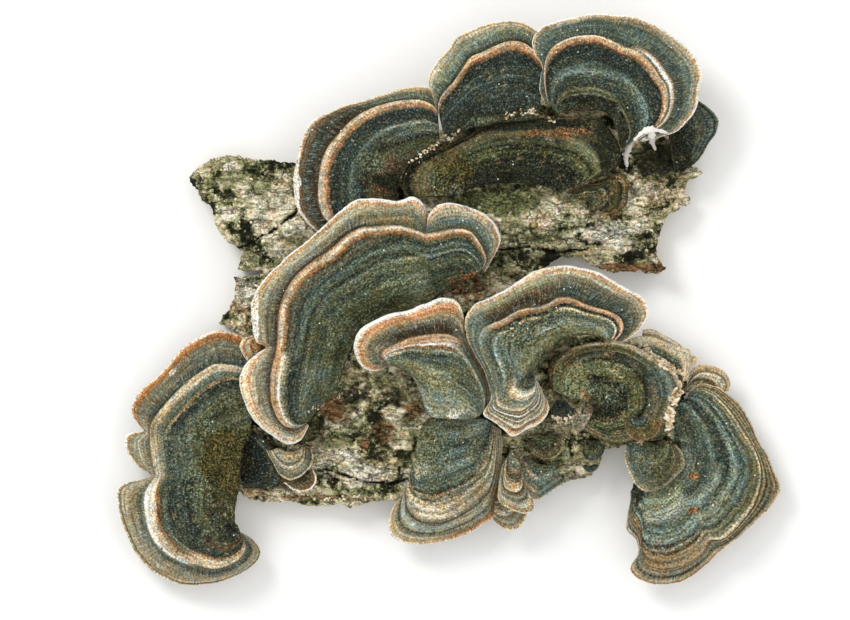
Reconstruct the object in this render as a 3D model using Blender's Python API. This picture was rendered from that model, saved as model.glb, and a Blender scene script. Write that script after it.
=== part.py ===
"""Turkey tail brackets that grew on one loose slab of bark, in metres, resting on its flat underside."""

import math

import bmesh
import bpy
import numpy as np
from mathutils import Vector
from mathutils.geometry import delaunay_2d_cdt

# Driving sizes, in millimetres
MM = 0.001
WIDTH = 221.6
DEPTH = 190.4
GAP = 0.35
RIM_THICK = 1.3
LEAST_THICK = 1.5
PLATE_THICK = 3.2
OPEN_GROUND = 3.0
RIDGE_AT = 0.98
RIDGE_WIDE = 0.14
RIDGE_STEP = 0.9
BARK_MIDDLE = 13.5
BARK_EDGE = 7.5
BARK_GRID = 7.9
BARK_GRID_WANDER = 1.1
BARK_UNDERCUT = 1.2
BARK_HEEL = 3.0
BARK_HALF_X = 92.0
BARK_HALF_Y = 74.0
BARK_ROUND_X = 90.0
BARK_ROUND_Y = 70.0
BARK_FALL_OFF = 0.35
BARK_EDGE_BAND = 9.0
BARK_EDGE_DROP = 2.6
FURROW = 0.55
CROSS_FURROW = 0.45
LUMP = 0.5
BASE_EXTRA = 1.8
FOOT_DEPTH = 40.0
LEAST_SHARE = 0.92
ROUGHNESS = 0.85
SHARP_ANGLE = 40.0

# Height map that each new piece is laid on
CELL = 0.5
MAP_MARGIN = 6.0
MAP_HALF_X = WIDTH / 2 + MAP_MARGIN
MAP_HALF_Y = DEPTH / 2 + MAP_MARGIN
SETTLE_ROUNDS = 14
SPREAD_ROUNDS = 4

# How far along a ray the rows of a bracket lie: 0 is its base, 1 its ridge, 2 its margin
WIDE_ROWS = (0.0, 0.33, 0.67, 0.98, 1.14, 1.55, 2.0)
SMALL_ROWS = (0.0, 0.5, 0.97, 1.2, 2.0)

# Colours, linear
SLATE = (0.075, 0.095, 0.095)
OLIVE = (0.060, 0.062, 0.036)
TAN = (0.230, 0.165, 0.105)
TEAL = (0.035, 0.050, 0.045)
BARK = (0.170, 0.150, 0.115)

# Outline of the bark slab seen from above, from its top left corner onwards
BARK_OUTLINE = [
    (-87.0, 41.0), (-83.3, 44.0), (-79.7, 46.9), (-73.0, 48.3), (-62.3, 46.7), (-52.7, 45.7),
    (-39.7, 46.0), (-24.0, 51.0), (-8.0, 55.0), (8.0, 59.5), (26.0, 65.5), (45.0, 67.5), (60.0, 62.0),
    (72.5, 56.5), (77.0, 51.0), (79.5, 45.5), (84.7, 42.3), (79.8, 40.2), (78.4, 35.9), (80.7, 34.6),
    (79.3, 31.4), (73.0, 29.0), (71.2, 24.0), (69.0, 17.6), (69.6, 13.8), (72.3, 11.0), (70.0, 8.6),
    (63.7, 9.7), (54.3, 9.7), (47.7, 11.3), (44.5, 14.7), (37.0, 14.3), (29.5, 9.5), (31.5, 2.0),
    (37.0, -6.7), (50.3, -11.7), (63.7, -15.0), (76.0, -20.0), (79.3, -27.5), (77.0, -43.3), (71.0, -49.5),
    (59.7, -48.3), (51.8, -50.0), (49.6, -56.0), (46.5, -59.3), (40.3, -60.0), (33.0, -64.9),
    (20.3, -63.5), (7.0, -61.5), (-6.3, -62.0), (-15.0, -66.7), (-22.3, -66.7), (-30.5, -69.0),
    (-38.0, -68.3), (-48.0, -68.9), (-53.0, -66.7), (-60.3, -68.0), (-68.0, -66.0), (-71.5, -63.0),
    (-73.5, -55.0), (-72.5, -45.0), (-70.5, -34.0), (-69.6, -20.0), (-69.8, -11.0), (-77.0, -7.6),
    (-73.4, -3.3), (-70.8, 2.0), (-71.8, 7.6), (-61.6, 8.6), (-61.6, 9.9), (-70.4, 10.4), (-68.8, 16.8),
    (-74.6, 20.0), (-77.0, 23.5), (-79.2, 31.0), (-82.4, 33.4), (-84.6, 38.0),
]

# Each bracket is a fan of rays. A ray is its base point, its ridge point and its margin point, from above.
# Heights are those of the upper surface at the base, the ridge and the margin. The foot is the part of the
# fan that reaches down to what carries it: first and last ray, and how far along the rays.
BRACKETS = {
    "cap_back_right": {
        "rows": SMALL_ROWS, "colour": TEAL, "heights": (15.5, 15.0, 12.5), "wave": 0.4, "foot": (0, 6, 0.6),
        "rays": [
            ((74.0, 58.0), (80.0, 63.5), (83.0, 66.8)), ((74.0, 56.0), (82.5, 62.0), (87.0, 64.0)),
            ((74.0, 54.0), (84.0, 59.0), (89.9, 60.3)), ((74.5, 50.0), (84.5, 55.5), (89.5, 56.3)),
            ((75.0, 47.0), (83.0, 51.0), (86.3, 51.6)), ((75.3, 44.5), (81.0, 47.5), (83.2, 46.6)),
            ((75.5, 42.0), (78.5, 44.5), (80.5, 44.3)),
        ],
    },
    "cap_right_under": {
        "rows": SMALL_ROWS, "colour": TEAL, "heights": (12.3, 11.8, 10.8), "wave": 0.2, "foot": (0, 6, 0.7),
        "rays": [
            ((63.0, -17.0), (64.5, -11.8), (64.8, -10.0)), ((65.5, -18.0), (67.0, -11.8), (67.3, -9.6)),
            ((68.5, -19.5), (71.0, -13.4), (72.0, -11.8)), ((71.0, -21.0), (75.2, -16.6), (77.6, -15.2)),
            ((73.0, -22.5), (77.8, -18.9), (80.0, -18.0)), ((74.5, -24.0), (80.2, -20.0), (83.4, -19.4)),
            ((75.5, -26.0), (79.6, -22.2), (82.2, -21.6)),
        ],
    },
    "dark_cap_left": {
        "rows": SMALL_ROWS, "colour": TEAL, "heights": (14.0, 14.5, 13.5), "wave": 0.4, "foot": (0, 8, 0.9),
        "rays": [
            ((-69.5, -47.5), (-66.5, -44.6), (-64.8, -44.0)),
            ((-69.5, -48.7), (-63.5, -47.0), (-61.0, -46.8)),
            ((-69.5, -50.0), (-60.5, -50.5), (-57.8, -50.6)),
            ((-69.5, -51.5), (-59.0, -54.5), (-56.4, -54.8)),
            ((-69.5, -53.0), (-58.5, -58.0), (-55.6, -58.8)),
            ((-69.5, -54.5), (-59.5, -60.4), (-56.2, -61.8)),
            ((-69.5, -56.0), (-62.5, -61.6), (-60.8, -63.0)),
            ((-69.5, -57.5), (-66.0, -62.0), (-65.2, -62.9)),
            ((-69.5, -59.0), (-69.0, -61.8), (-68.8, -62.6)),
        ],
    },
    "cap_left_outer": {
        "rows": WIDE_ROWS, "colour": SLATE, "heights": (17.5, 16.0, 8.0), "wave": 1.0, "foot": (0, 22, 0.35),
        "rays": [
            ((-66.5, -45.5), (-63.0, -24.0), (-62.5, -14.0)),
            ((-67.0, -46.2), (-68.0, -22.6), (-67.0, -12.8)),
            ((-67.5, -46.9), (-73.0, -21.6), (-72.0, -11.0)),
            ((-67.9, -47.6), (-78.0, -21.5), (-77.5, -10.1)),
            ((-68.3, -48.3), (-82.0, -23.6), (-83.5, -12.2)),
            ((-68.6, -49.0), (-86.0, -26.4), (-89.0, -16.0)),
            ((-68.8, -49.7), (-89.5, -29.5), (-93.6, -21.3)),
            ((-69.0, -50.4), (-92.5, -32.7), (-98.5, -26.2)),
            ((-69.1, -51.1), (-95.5, -36.0), (-103.3, -30.5)),
            ((-69.2, -51.8), (-98.0, -39.5), (-106.5, -36.5)),
            ((-69.3, -52.5), (-99.5, -42.5), (-104.0, -41.6)),
            ((-69.3, -53.2), (-99.6, -45.0), (-102.3, -43.4)),
            ((-69.4, -53.9), (-99.2, -48.5), (-107.8, -45.0)),
            ((-69.4, -54.6), (-98.7, -52.0), (-107.9, -50.5)),
            ((-69.5, -55.3), (-98.4, -55.5), (-104.0, -55.6)),
            ((-69.5, -56.0), (-98.0, -58.9), (-99.6, -58.8)),
            ((-69.7, -57.4), (-99.2, -61.6), (-103.0, -59.9)),
            ((-70.0, -59.6), (-100.1, -65.5), (-110.4, -62.5)),
            ((-70.3, -62.0), (-100.0, -70.5), (-110.6, -70.0)),
            ((-70.7, -64.3), (-98.9, -75.5), (-108.0, -78.0)),
            ((-71.0, -66.5), (-96.5, -80.5), (-104.3, -85.2)),
            ((-71.3, -68.7), (-92.5, -84.3), (-98.5, -91.2)),
            ((-71.4, -70.7), (-87.5, -86.8), (-91.0, -94.9)),
            ((-71.5, -72.3), (-82.0, -88.8), (-83.0, -95.2)),
            ((-71.45, -73.5), (-77.0, -89.3), (-75.0, -93.7)),
            ((-71.3, -74.2), (-72.5, -87.8), (-69.0, -91.0)),
            ((-71.1, -74.6), (-69.3, -85.3), (-64.6, -87.8)),
            ((-70.9, -74.8), (-68.0, -82.5), (-63.0, -84.5)),
            ((-70.7, -74.9), (-68.8, -80.0), (-65.8, -79.9)),
            ((-70.5, -74.9), (-69.6, -77.4), (-68.6, -78.2)),
        ],
    },
    "cap_bottom": {
        "rows": WIDE_ROWS, "colour": SLATE, "heights": (19.0, 16.0, 8.5), "wave": 0.8, "foot": (0, 15, 0.42),
        "rays": [
            ((-9.9, -44.5), (-14.6, -64.6), (-16.6, -66.2)),
            ((-9.3, -43.9), (-14.3, -67.6), (-18.9, -69.9)),
            ((-8.9, -43.3), (-13.8, -70.4), (-20.1, -74.0)),
            ((-8.6, -42.7), (-11.8, -72.6), (-19.6, -78.2)),
            ((-7.8, -42.2), (-8.7, -74.0), (-15.5, -81.0)), ((-6.8, -41.7), (-5.0, -74.4), (-9.0, -81.8)),
            ((-5.4, -41.3), (-1.5, -74.0), (-3.0, -81.1)), ((-3.6, -41.0), (1.8, -72.6), (2.5, -79.5)),
            ((-1.4, -41.0), (5.0, -71.0), (7.5, -77.6)), ((1.2, -41.0), (8.0, -69.0), (11.5, -75.0)),
            ((3.8, -41.0), (10.5, -66.8), (14.4, -73.2)), ((6.4, -41.0), (13.0, -64.0), (15.8, -68.0)),
            ((9.0, -41.0), (14.8, -59.0), (17.2, -62.0)), ((11.0, -41.0), (15.6, -53.0), (17.6, -55.0)),
            ((12.5, -41.0), (15.9, -47.0), (17.8, -48.5)), ((13.7, -40.7), (15.8, -42.3), (17.2, -43.0)),
        ],
    },
    "small_cap_right_top": {
        "rows": SMALL_ROWS, "colour": TAN, "heights": (10.8, 10.2, 9.2), "wave": 0.3, "foot": (0, 6, 0.5),
        "rays": [
            ((78.5, -31.2), (79.8, -28.5), (80.2, -26.6)), ((79.3, -31.0), (82.0, -25.4), (81.2, -23.3)),
            ((80.1, -30.8), (85.0, -24.0), (84.6, -21.5)), ((80.9, -30.9), (88.5, -24.5), (88.4, -22.1)),
            ((81.6, -31.2), (91.5, -26.3), (92.4, -24.3)), ((82.2, -31.7), (92.6, -28.4), (94.2, -27.6)),
            ((82.7, -32.4), (92.0, -30.6), (93.6, -30.4)),
        ],
    },
    "cap_right_large": {
        "rows": WIDE_ROWS, "colour": SLATE, "heights": (14.5, 13.5, 8.5), "wave": 1.0, "foot": (0, 28, 0.24),
        "rays": [
            ((72.0, -37.5), (79.5, -32.5), (80.3, -30.2)), ((72.2, -38.8), (84.0, -29.8), (84.5, -28.0)),
            ((72.4, -40.0), (88.0, -31.2), (89.8, -29.2)), ((72.6, -41.2), (91.5, -34.4), (94.5, -32.6)),
            ((72.8, -42.4), (95.0, -38.5), (98.6, -36.6)), ((73.0, -43.6), (98.0, -42.8), (101.0, -40.8)),
            ((73.1, -44.8), (100.5, -47.0), (103.2, -46.5)),
            ((73.2, -46.0), (102.6, -51.5), (106.6, -52.0)),
            ((73.2, -47.2), (103.8, -56.0), (108.8, -57.3)),
            ((73.2, -48.4), (103.9, -60.0), (110.8, -62.6)),
            ((73.1, -49.6), (103.0, -64.8), (109.2, -67.0)),
            ((73.0, -50.8), (101.0, -69.5), (105.2, -71.6)),
            ((72.8, -52.0), (98.0, -73.6), (101.3, -75.3)), ((72.5, -53.1), (94.5, -77.5), (96.5, -79.6)),
            ((72.1, -54.1), (90.5, -79.9), (92.3, -82.8)), ((71.6, -55.0), (87.0, -80.3), (90.2, -84.6)),
            ((71.0, -55.8), (85.6, -83.2), (87.3, -87.5)), ((70.3, -56.5), (82.0, -86.4), (83.0, -90.8)),
            ((69.5, -57.1), (77.5, -88.8), (77.5, -94.2)), ((68.6, -57.6), (72.5, -90.0), (72.0, -95.1)),
            ((67.7, -58.0), (68.4, -89.4), (66.8, -94.6)), ((66.8, -58.4), (66.4, -88.4), (62.2, -92.4)),
            ((65.9, -58.8), (65.0, -86.8), (60.6, -90.0)), ((65.0, -59.2), (64.4, -83.6), (63.2, -84.9)),
            ((64.2, -59.6), (63.7, -78.2), (62.6, -80.2)), ((63.4, -59.9), (61.2, -74.0), (59.6, -77.0)),
            ((62.7, -60.2), (60.9, -70.0), (59.6, -72.0)), ((62.1, -60.5), (61.0, -65.5), (60.6, -67.0)),
            ((61.6, -60.8), (61.3, -62.8), (60.8, -63.8)),
        ],
    },
    "small_cap_bark_b": {
        "rows": SMALL_ROWS, "colour": TAN, "heights": (13.0, 13.3, 12.8), "wave": 0.2, "foot": (0, 5, 0.8),
        "rays": [
            ((-51.0, -57.5), (-54.0, -59.8), (-55.2, -60.8)),
            ((-50.0, -58.0), (-52.0, -61.5), (-52.5, -63.2)),
            ((-49.0, -58.0), (-49.0, -62.3), (-49.0, -64.2)),
            ((-48.0, -57.8), (-46.5, -61.5), (-45.8, -63.0)),
            ((-47.5, -57.0), (-45.8, -59.0), (-44.2, -59.3)),
            ((-47.5, -56.3), (-46.5, -56.8), (-45.2, -56.7)),
        ],
    },
    "small_cap_bark_a": {
        "rows": SMALL_ROWS, "colour": SLATE, "heights": (14.5, 14.5, 13.5), "wave": 0.2, "foot": (0, 7, 0.8),
        "rays": [
            ((-57.0, -49.2), (-59.5, -50.2), (-61.0, -49.8)),
            ((-56.0, -49.6), (-57.6, -53.8), (-58.6, -54.5)),
            ((-54.8, -50.0), (-55.5, -56.0), (-56.5, -58.2)),
            ((-53.5, -50.2), (-53.0, -56.8), (-53.0, -60.0)),
            ((-52.0, -50.2), (-50.5, -56.0), (-49.5, -58.8)),
            ((-50.8, -50.0), (-48.5, -53.8), (-46.3, -55.8)),
            ((-50.0, -49.5), (-48.0, -51.3), (-45.3, -52.3)),
            ((-49.5, -48.8), (-48.0, -49.0), (-46.0, -49.6)),
        ],
    },
    "small_cap_low_c": {
        "rows": SMALL_ROWS, "colour": OLIVE, "heights": (15.5, 15.5, 14.5), "wave": 0.3, "foot": (0, 4, 0.8),
        "rays": [
            ((29.0, -44.0), (27.0, -46.5), (25.8, -47.5)), ((30.2, -44.6), (29.0, -49.5), (28.2, -51.8)),
            ((31.6, -44.8), (32.5, -50.8), (32.6, -53.2)), ((33.0, -44.5), (35.7, -49.0), (37.0, -51.0)),
            ((34.0, -43.8), (36.5, -45.3), (38.2, -45.2)),
        ],
    },
    "small_cap_low_a": {
        "rows": SMALL_ROWS, "colour": TEAL, "heights": (13.5, 13.0, 11.5), "wave": 0.2, "foot": (0, 4, 0.8),
        "rays": [
            ((46.0, -46.8), (45.0, -49.5), (44.4, -50.5)), ((46.8, -47.0), (46.2, -51.5), (45.8, -53.2)),
            ((47.8, -47.0), (48.0, -51.8), (48.3, -53.6)), ((48.8, -47.0), (50.2, -50.5), (51.2, -51.5)),
            ((49.5, -46.6), (51.2, -48.3), (52.4, -48.5)),
        ],
    },
    "small_cap_low_b": {
        "rows": SMALL_ROWS, "colour": TEAL, "heights": (11.5, 11.5, 10.5), "wave": 0.1, "foot": (0, 3, 0.8),
        "rays": [
            ((45.9, -55.0), (45.2, -55.0), (44.6, -55.6)), ((46.7, -55.3), (46.3, -56.3), (46.2, -57.5)),
            ((47.6, -55.2), (48.1, -56.2), (48.7, -57.2)), ((48.2, -54.9), (49.3, -54.9), (50.3, -55.2)),
        ],
    },
    "small_cap_blue": {
        "rows": SMALL_ROWS, "colour": SLATE, "heights": (16.0, 14.0, 11.0), "wave": 0.3, "foot": (0, 7, 0.5),
        "rays": [
            ((27.0, -53.0), (23.8, -55.0), (22.4, -55.2)), ((27.8, -53.5), (24.0, -58.0), (21.9, -58.8)),
            ((28.7, -54.0), (25.0, -61.0), (22.8, -62.6)), ((29.6, -54.5), (27.5, -63.5), (25.5, -65.0)),
            ((30.7, -54.8), (30.0, -64.5), (29.0, -66.7)), ((32.0, -55.0), (32.5, -62.8), (32.3, -65.2)),
            ((33.5, -55.0), (35.0, -61.0), (36.0, -62.8)), ((35.0, -54.5), (37.5, -59.0), (39.5, -61.0)),
        ],
    },
    "small_cap_bottom_a": {
        "rows": SMALL_ROWS, "colour": TAN, "heights": (13.5, 12.0, 9.5), "wave": 0.2, "foot": (0, 5, 0.3),
        "rays": [
            ((15.5, -66.5), (14.9, -71.0), (14.7, -73.4)), ((16.5, -66.3), (16.5, -72.3), (16.6, -75.3)),
            ((17.5, -66.0), (19.0, -72.8), (19.5, -76.9)), ((18.5, -65.7), (21.0, -72.3), (22.8, -76.4)),
            ((19.5, -65.3), (22.5, -71.0), (25.1, -73.8)), ((20.3, -64.8), (23.5, -69.5), (26.2, -71.3)),
        ],
    },
    "small_cap_bottom_b": {
        "rows": SMALL_ROWS, "colour": TAN, "heights": (17.5, 16.0, 13.0), "wave": 0.2, "foot": (0, 7, 0.4),
        "rays": [
            ((21.0, -49.5), (18.9, -53.0), (17.8, -55.0)), ((21.4, -50.2), (18.2, -58.0), (16.5, -62.0)),
            ((21.8, -50.8), (18.5, -62.0), (16.8, -67.2)), ((22.3, -51.3), (20.5, -63.5), (21.0, -70.0)),
            ((22.8, -51.7), (22.5, -63.8), (25.0, -71.3)), ((23.2, -52.2), (23.9, -63.0), (28.2, -69.8)),
            ((23.5, -52.8), (24.4, -61.5), (28.0, -66.6)), ((23.7, -53.5), (24.2, -59.0), (25.6, -62.6)),
        ],
    },
    "old_cap_top_small": {
        "rows": SMALL_ROWS, "colour": OLIVE, "heights": (15.0, 15.6, 14.8), "wave": 0.3, "foot": (0, 7, 0.9),
        "rays": [
            ((43.5, 33.5), (41.0, 35.3), (38.8, 35.8)), ((44.5, 33.5), (45.5, 37.0), (45.7, 38.6)),
            ((45.5, 33.3), (50.0, 37.4), (51.2, 39.4)), ((46.2, 32.9), (53.0, 38.8), (56.2, 42.6)),
            ((46.6, 32.3), (54.5, 37.6), (59.2, 41.6)), ((46.8, 31.6), (54.8, 35.0), (60.0, 36.5)),
            ((46.6, 30.8), (53.8, 32.0), (59.0, 31.5)), ((46.0, 30.2), (51.0, 29.6), (55.0, 28.6)),
        ],
    },
    "old_cap_top": {
        "rows": WIDE_ROWS, "colour": OLIVE, "heights": (18.0, 18.5, 17.0), "wave": 0.3, "foot": (0, 14, 1.5),
        "rays": [
            ((5.0, 35.0), (-6.0, 34.3), (-14.5, 33.5)), ((5.5, 36.0), (-7.0, 38.3), (-15.8, 39.4)),
            ((6.5, 37.0), (-6.0, 42.4), (-13.8, 44.4)), ((8.0, 37.7), (-2.0, 46.0), (-8.0, 48.0)),
            ((10.0, 38.3), (3.0, 49.0), (0.0, 51.6)), ((13.0, 38.7), (9.0, 52.0), (7.6, 55.5)),
            ((16.0, 39.0), (15.0, 53.8), (13.5, 58.6)), ((20.0, 39.0), (21.0, 54.5), (20.0, 59.2)),
            ((24.0, 39.0), (28.0, 54.5), (27.0, 60.2)), ((27.5, 38.7), (34.0, 54.0), (35.0, 61.0)),
            ((30.5, 38.3), (38.8, 53.0), (43.0, 61.2)), ((33.0, 37.7), (44.0, 51.5), (51.0, 59.3)),
            ((34.7, 37.0), (48.0, 47.5), (56.0, 52.5)), ((35.7, 36.3), (50.0, 43.5), (57.2, 45.8)),
            ((36.3, 35.5), (46.0, 40.0), (51.6, 41.3)),
        ],
    },
    "cap_top_left": {
        "rows": WIDE_ROWS, "colour": SLATE, "heights": (17.5, 21.5, 16.0), "wave": 0.8, "foot": (0, 14, 0.3),
        "rays": [
            ((-17.0, 33.0), (-36.0, 24.0), (-41.0, 20.0)), ((-17.3, 34.0), (-41.0, 27.0), (-47.0, 25.5)),
            ((-17.5, 35.0), (-43.0, 32.0), (-50.5, 30.5)), ((-17.5, 36.2), (-43.1, 38.2), (-51.8, 36.5)),
            ((-17.5, 37.5), (-42.5, 44.5), (-51.2, 44.0)), ((-17.0, 39.0), (-40.2, 50.7), (-49.2, 53.0)),
            ((-16.5, 40.5), (-36.7, 54.7), (-46.3, 59.0)), ((-16.0, 41.7), (-33.5, 58.5), (-41.8, 61.8)),
            ((-15.5, 42.8), (-29.1, 62.0), (-36.2, 64.4)), ((-14.8, 44.0), (-24.5, 64.2), (-29.5, 66.3)),
            ((-13.5, 45.2), (-19.5, 65.6), (-22.0, 68.6)), ((-11.5, 46.6), (-14.0, 66.5), (-15.2, 70.6)),
            ((-9.0, 48.0), (-9.0, 66.3), (-9.8, 71.1)), ((-6.0, 49.4), (-5.6, 64.8), (-6.2, 70.3)),
            ((-3.0, 50.5), (-3.7, 62.8), (-4.8, 66.5)),
        ],
    },
    "cap_top_middle": {
        "rows": WIDE_ROWS, "colour": SLATE, "heights": (18.5, 23.5, 18.5), "wave": 0.8, "foot": (0, 12, 0.3),
        "rays": [
            ((-1.0, 52.0), (-3.4, 61.5), (-4.6, 64.5)), ((0.0, 53.0), (-3.6, 65.0), (-5.7, 68.5)),
            ((1.0, 54.0), (-2.5, 67.8), (-6.8, 72.0)), ((2.5, 55.0), (-0.3, 70.5), (-6.0, 76.0)),
            ((4.5, 56.0), (2.0, 73.3), (-3.6, 79.8)), ((6.5, 57.0), (4.3, 76.6), (-0.5, 83.2)),
            ((9.0, 57.8), (7.0, 80.4), (2.4, 87.3)), ((11.5, 58.4), (11.0, 82.3), (8.0, 90.2)),
            ((14.5, 58.9), (15.0, 84.2), (13.5, 92.1)), ((18.0, 59.4), (19.5, 85.8), (19.5, 92.7)),
            ((22.0, 59.8), (24.0, 85.5), (25.0, 92.0)), ((26.0, 60.2), (27.5, 83.5), (29.0, 89.6)),
            ((30.0, 60.5), (31.5, 79.0), (33.0, 86.0)),
        ],
    },
    "cap_top_right": {
        "rows": WIDE_ROWS, "colour": SLATE, "heights": (20.0, 27.0, 21.5), "wave": 0.9, "foot": (0, 21, 0.3),
        "rays": [
            ((36.0, 62.0), (33.0, 65.0), (31.8, 65.0)), ((37.0, 62.5), (32.0, 69.5), (30.3, 69.0)),
            ((38.0, 63.0), (31.5, 74.5), (30.2, 73.8)), ((39.0, 63.2), (31.8, 78.3), (30.9, 77.8)),
            ((40.0, 63.4), (32.6, 80.5), (28.2, 81.8)), ((41.2, 63.5), (34.0, 82.8), (27.7, 86.0)),
            ((42.5, 63.6), (36.5, 84.8), (30.2, 90.2)), ((44.0, 63.6), (40.5, 86.5), (36.0, 92.8)),
            ((45.5, 63.6), (45.0, 87.2), (43.3, 94.4)), ((47.5, 63.5), (49.2, 87.1), (50.5, 95.2)),
            ((49.5, 63.4), (53.0, 85.6), (57.6, 94.6)), ((51.0, 63.2), (57.5, 83.3), (64.0, 93.5)),
            ((52.5, 62.7), (62.5, 82.0), (71.0, 90.2)), ((53.6, 61.8), (66.5, 78.7), (77.5, 85.2)),
            ((54.6, 60.3), (69.3, 74.8), (82.3, 80.3)), ((55.3, 58.6), (71.7, 71.2), (84.4, 75.0)),
            ((56.0, 57.0), (72.6, 67.5), (83.2, 70.0)), ((56.5, 55.8), (72.5, 64.5), (82.8, 66.0)),
            ((57.0, 54.6), (71.5, 61.0), (80.0, 60.3)), ((57.3, 53.4), (69.5, 58.3), (76.0, 56.2)),
            ((57.5, 52.0), (66.0, 56.0), (70.5, 54.2)), ((57.5, 50.5), (62.0, 53.2), (64.6, 52.6)),
        ],
    },
    "old_cap_right_small": {
        "rows": SMALL_ROWS, "colour": OLIVE, "heights": (15.5, 17.0, 15.5), "wave": 0.3, "foot": (0, 9, 0.4),
        "rays": [
            ((64.3, -46.0), (60.7, -48.2), (59.3, -48.5)), ((64.8, -46.5), (60.5, -52.0), (58.5, -52.8)),
            ((65.5, -46.9), (62.0, -56.0), (59.8, -57.2)), ((66.4, -47.2), (64.0, -59.5), (62.0, -61.5)),
            ((67.4, -47.4), (67.0, -61.0), (66.0, -63.8)), ((68.4, -47.4), (70.0, -60.5), (70.8, -62.8)),
            ((69.3, -47.2), (73.0, -58.0), (75.5, -59.0)), ((70.0, -46.9), (75.0, -54.5), (78.4, -55.2)),
            ((70.6, -46.5), (75.0, -51.2), (78.0, -51.3)), ((71.0, -46.0), (73.8, -48.2), (75.6, -48.2)),
        ],
    },
    "cap_right_back": {
        "rows": SMALL_ROWS, "colour": TAN, "heights": (14.8, 15.4, 14.0), "wave": 0.3, "foot": (0, 8, 0.3),
        "rays": [
            ((60.5, -19.0), (60.6, -15.0), (59.5, -13.2)), ((63.0, -19.8), (64.0, -14.2), (63.5, -12.0)),
            ((65.5, -20.8), (68.0, -14.8), (68.0, -12.2)), ((68.0, -22.2), (72.0, -16.3), (72.6, -13.8)),
            ((70.0, -23.8), (75.2, -18.0), (76.5, -15.7)), ((71.8, -25.6), (77.4, -19.6), (80.3, -16.9)),
            ((73.2, -27.4), (78.0, -21.7), (80.7, -20.0)), ((74.2, -29.2), (78.2, -24.2), (80.2, -24.0)),
            ((75.0, -31.0), (78.0, -27.2), (79.4, -26.8)),
        ],
    },
    "old_cap_right": {
        "rows": WIDE_ROWS, "colour": OLIVE, "heights": (20.5, 19.5, 18.0), "wave": 0.5, "foot": (0, 17, 1.3),
        "rays": [
            ((46.5, -34.0), (37.5, -31.5), (33.6, -29.5)), ((46.6, -33.3), (37.8, -26.5), (32.9, -25.0)),
            ((46.8, -32.7), (39.0, -22.5), (33.6, -20.5)), ((47.1, -32.2), (42.0, -19.3), (38.3, -17.0)),
            ((47.5, -31.9), (46.5, -17.4), (45.3, -14.6)), ((47.9, -31.8), (52.0, -17.0), (52.3, -13.9)),
            ((48.3, -31.9), (57.0, -17.8), (59.8, -14.6)), ((48.7, -32.1), (62.0, -20.0), (66.5, -18.0)),
            ((49.1, -32.4), (66.0, -23.4), (72.5, -22.0)), ((49.4, -32.8), (68.5, -27.5), (76.3, -26.8)),
            ((49.6, -33.3), (69.0, -31.8), (77.6, -31.3)), ((49.7, -33.9), (68.5, -36.0), (75.2, -36.3)),
            ((49.7, -34.5), (66.0, -40.0), (73.8, -41.2)), ((49.6, -35.1), (63.0, -43.0), (71.5, -45.8)),
            ((49.4, -35.7), (58.5, -44.5), (62.0, -47.2)), ((49.1, -36.2), (54.5, -45.0), (55.6, -48.2)),
            ((48.7, -36.6), (50.0, -43.8), (50.0, -46.6)), ((48.2, -36.8), (45.8, -41.5), (44.6, -43.2)),
        ],
    },
    "small_cap_right": {
        "rows": SMALL_ROWS, "colour": OLIVE, "heights": (22.0, 22.5, 21.5), "wave": 0.2, "foot": (0, 5, 0.7),
        "rays": [
            ((61.0, -38.5), (59.5, -39.6), (58.6, -40.0)), ((61.6, -39.0), (60.0, -42.5), (59.3, -44.5)),
            ((62.3, -39.2), (62.5, -44.0), (62.5, -46.8)), ((63.0, -39.2), (65.5, -43.8), (66.8, -46.0)),
            ((63.6, -38.9), (67.0, -41.5), (70.3, -42.8)), ((64.0, -38.4), (67.5, -39.0), (71.0, -39.3)),
        ],
    },
    "small_cap_gap": {
        "rows": SMALL_ROWS, "colour": TEAL, "heights": (17.5, 18.0, 17.0), "wave": 0.2, "foot": (0, 4, 0.8),
        "rays": [
            ((35.8, -33.2), (34.6, -35.2), (34.0, -36.2)), ((36.5, -33.5), (35.3, -37.6), (34.4, -39.2)),
            ((37.3, -33.6), (37.2, -38.8), (37.0, -41.0)), ((38.1, -33.5), (39.2, -37.8), (40.3, -39.4)),
            ((38.8, -33.2), (40.5, -35.5), (41.8, -36.0)),
        ],
    },
    "small_cap_left": {
        "rows": SMALL_ROWS, "colour": TAN, "heights": (17.0, 17.0, 16.0), "wave": 0.2, "foot": (0, 4, 0.6),
        "rays": [
            ((-62.0, -13.2), (-64.0, -12.4), (-65.2, -12.0)),
            ((-62.1, -14.3), (-66.5, -13.2), (-68.5, -12.8)),
            ((-62.2, -15.4), (-67.5, -15.2), (-69.8, -15.4)),
            ((-62.2, -16.5), (-67.0, -17.2), (-68.8, -18.3)),
            ((-62.0, -17.6), (-65.4, -18.8), (-67.0, -20.2)),
        ],
    },
    "cap_left_large": {
        "rows": WIDE_ROWS, "colour": SLATE, "heights": (20.0, 28.0, 22.5), "wave": 1.1, "foot": (10, 28, 0.3),
        "rays": [
            ((-45.9, -39.6), (-47.3, -40.8), (-46.6, -41.8)),
            ((-45.2, -38.2), (-50.5, -42.4), (-49.8, -47.2)),
            ((-44.0, -36.6), (-53.6, -42.2), (-54.0, -47.9)),
            ((-42.4, -34.8), (-56.4, -39.8), (-59.3, -44.8)),
            ((-40.6, -33.0), (-58.2, -35.8), (-64.8, -40.3)),
            ((-38.8, -31.0), (-58.9, -30.7), (-68.2, -33.5)),
            ((-37.2, -28.6), (-58.6, -24.9), (-69.6, -26.5)),
            ((-36.0, -25.6), (-57.9, -20.5), (-67.0, -20.3)),
            ((-35.2, -22.6), (-57.4, -17.5), (-62.3, -16.8)),
            ((-34.4, -20.2), (-57.2, -15.9), (-60.6, -15.8)),
            ((-33.5, -18.0), (-57.0, -14.0), (-63.9, -14.1)),
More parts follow.
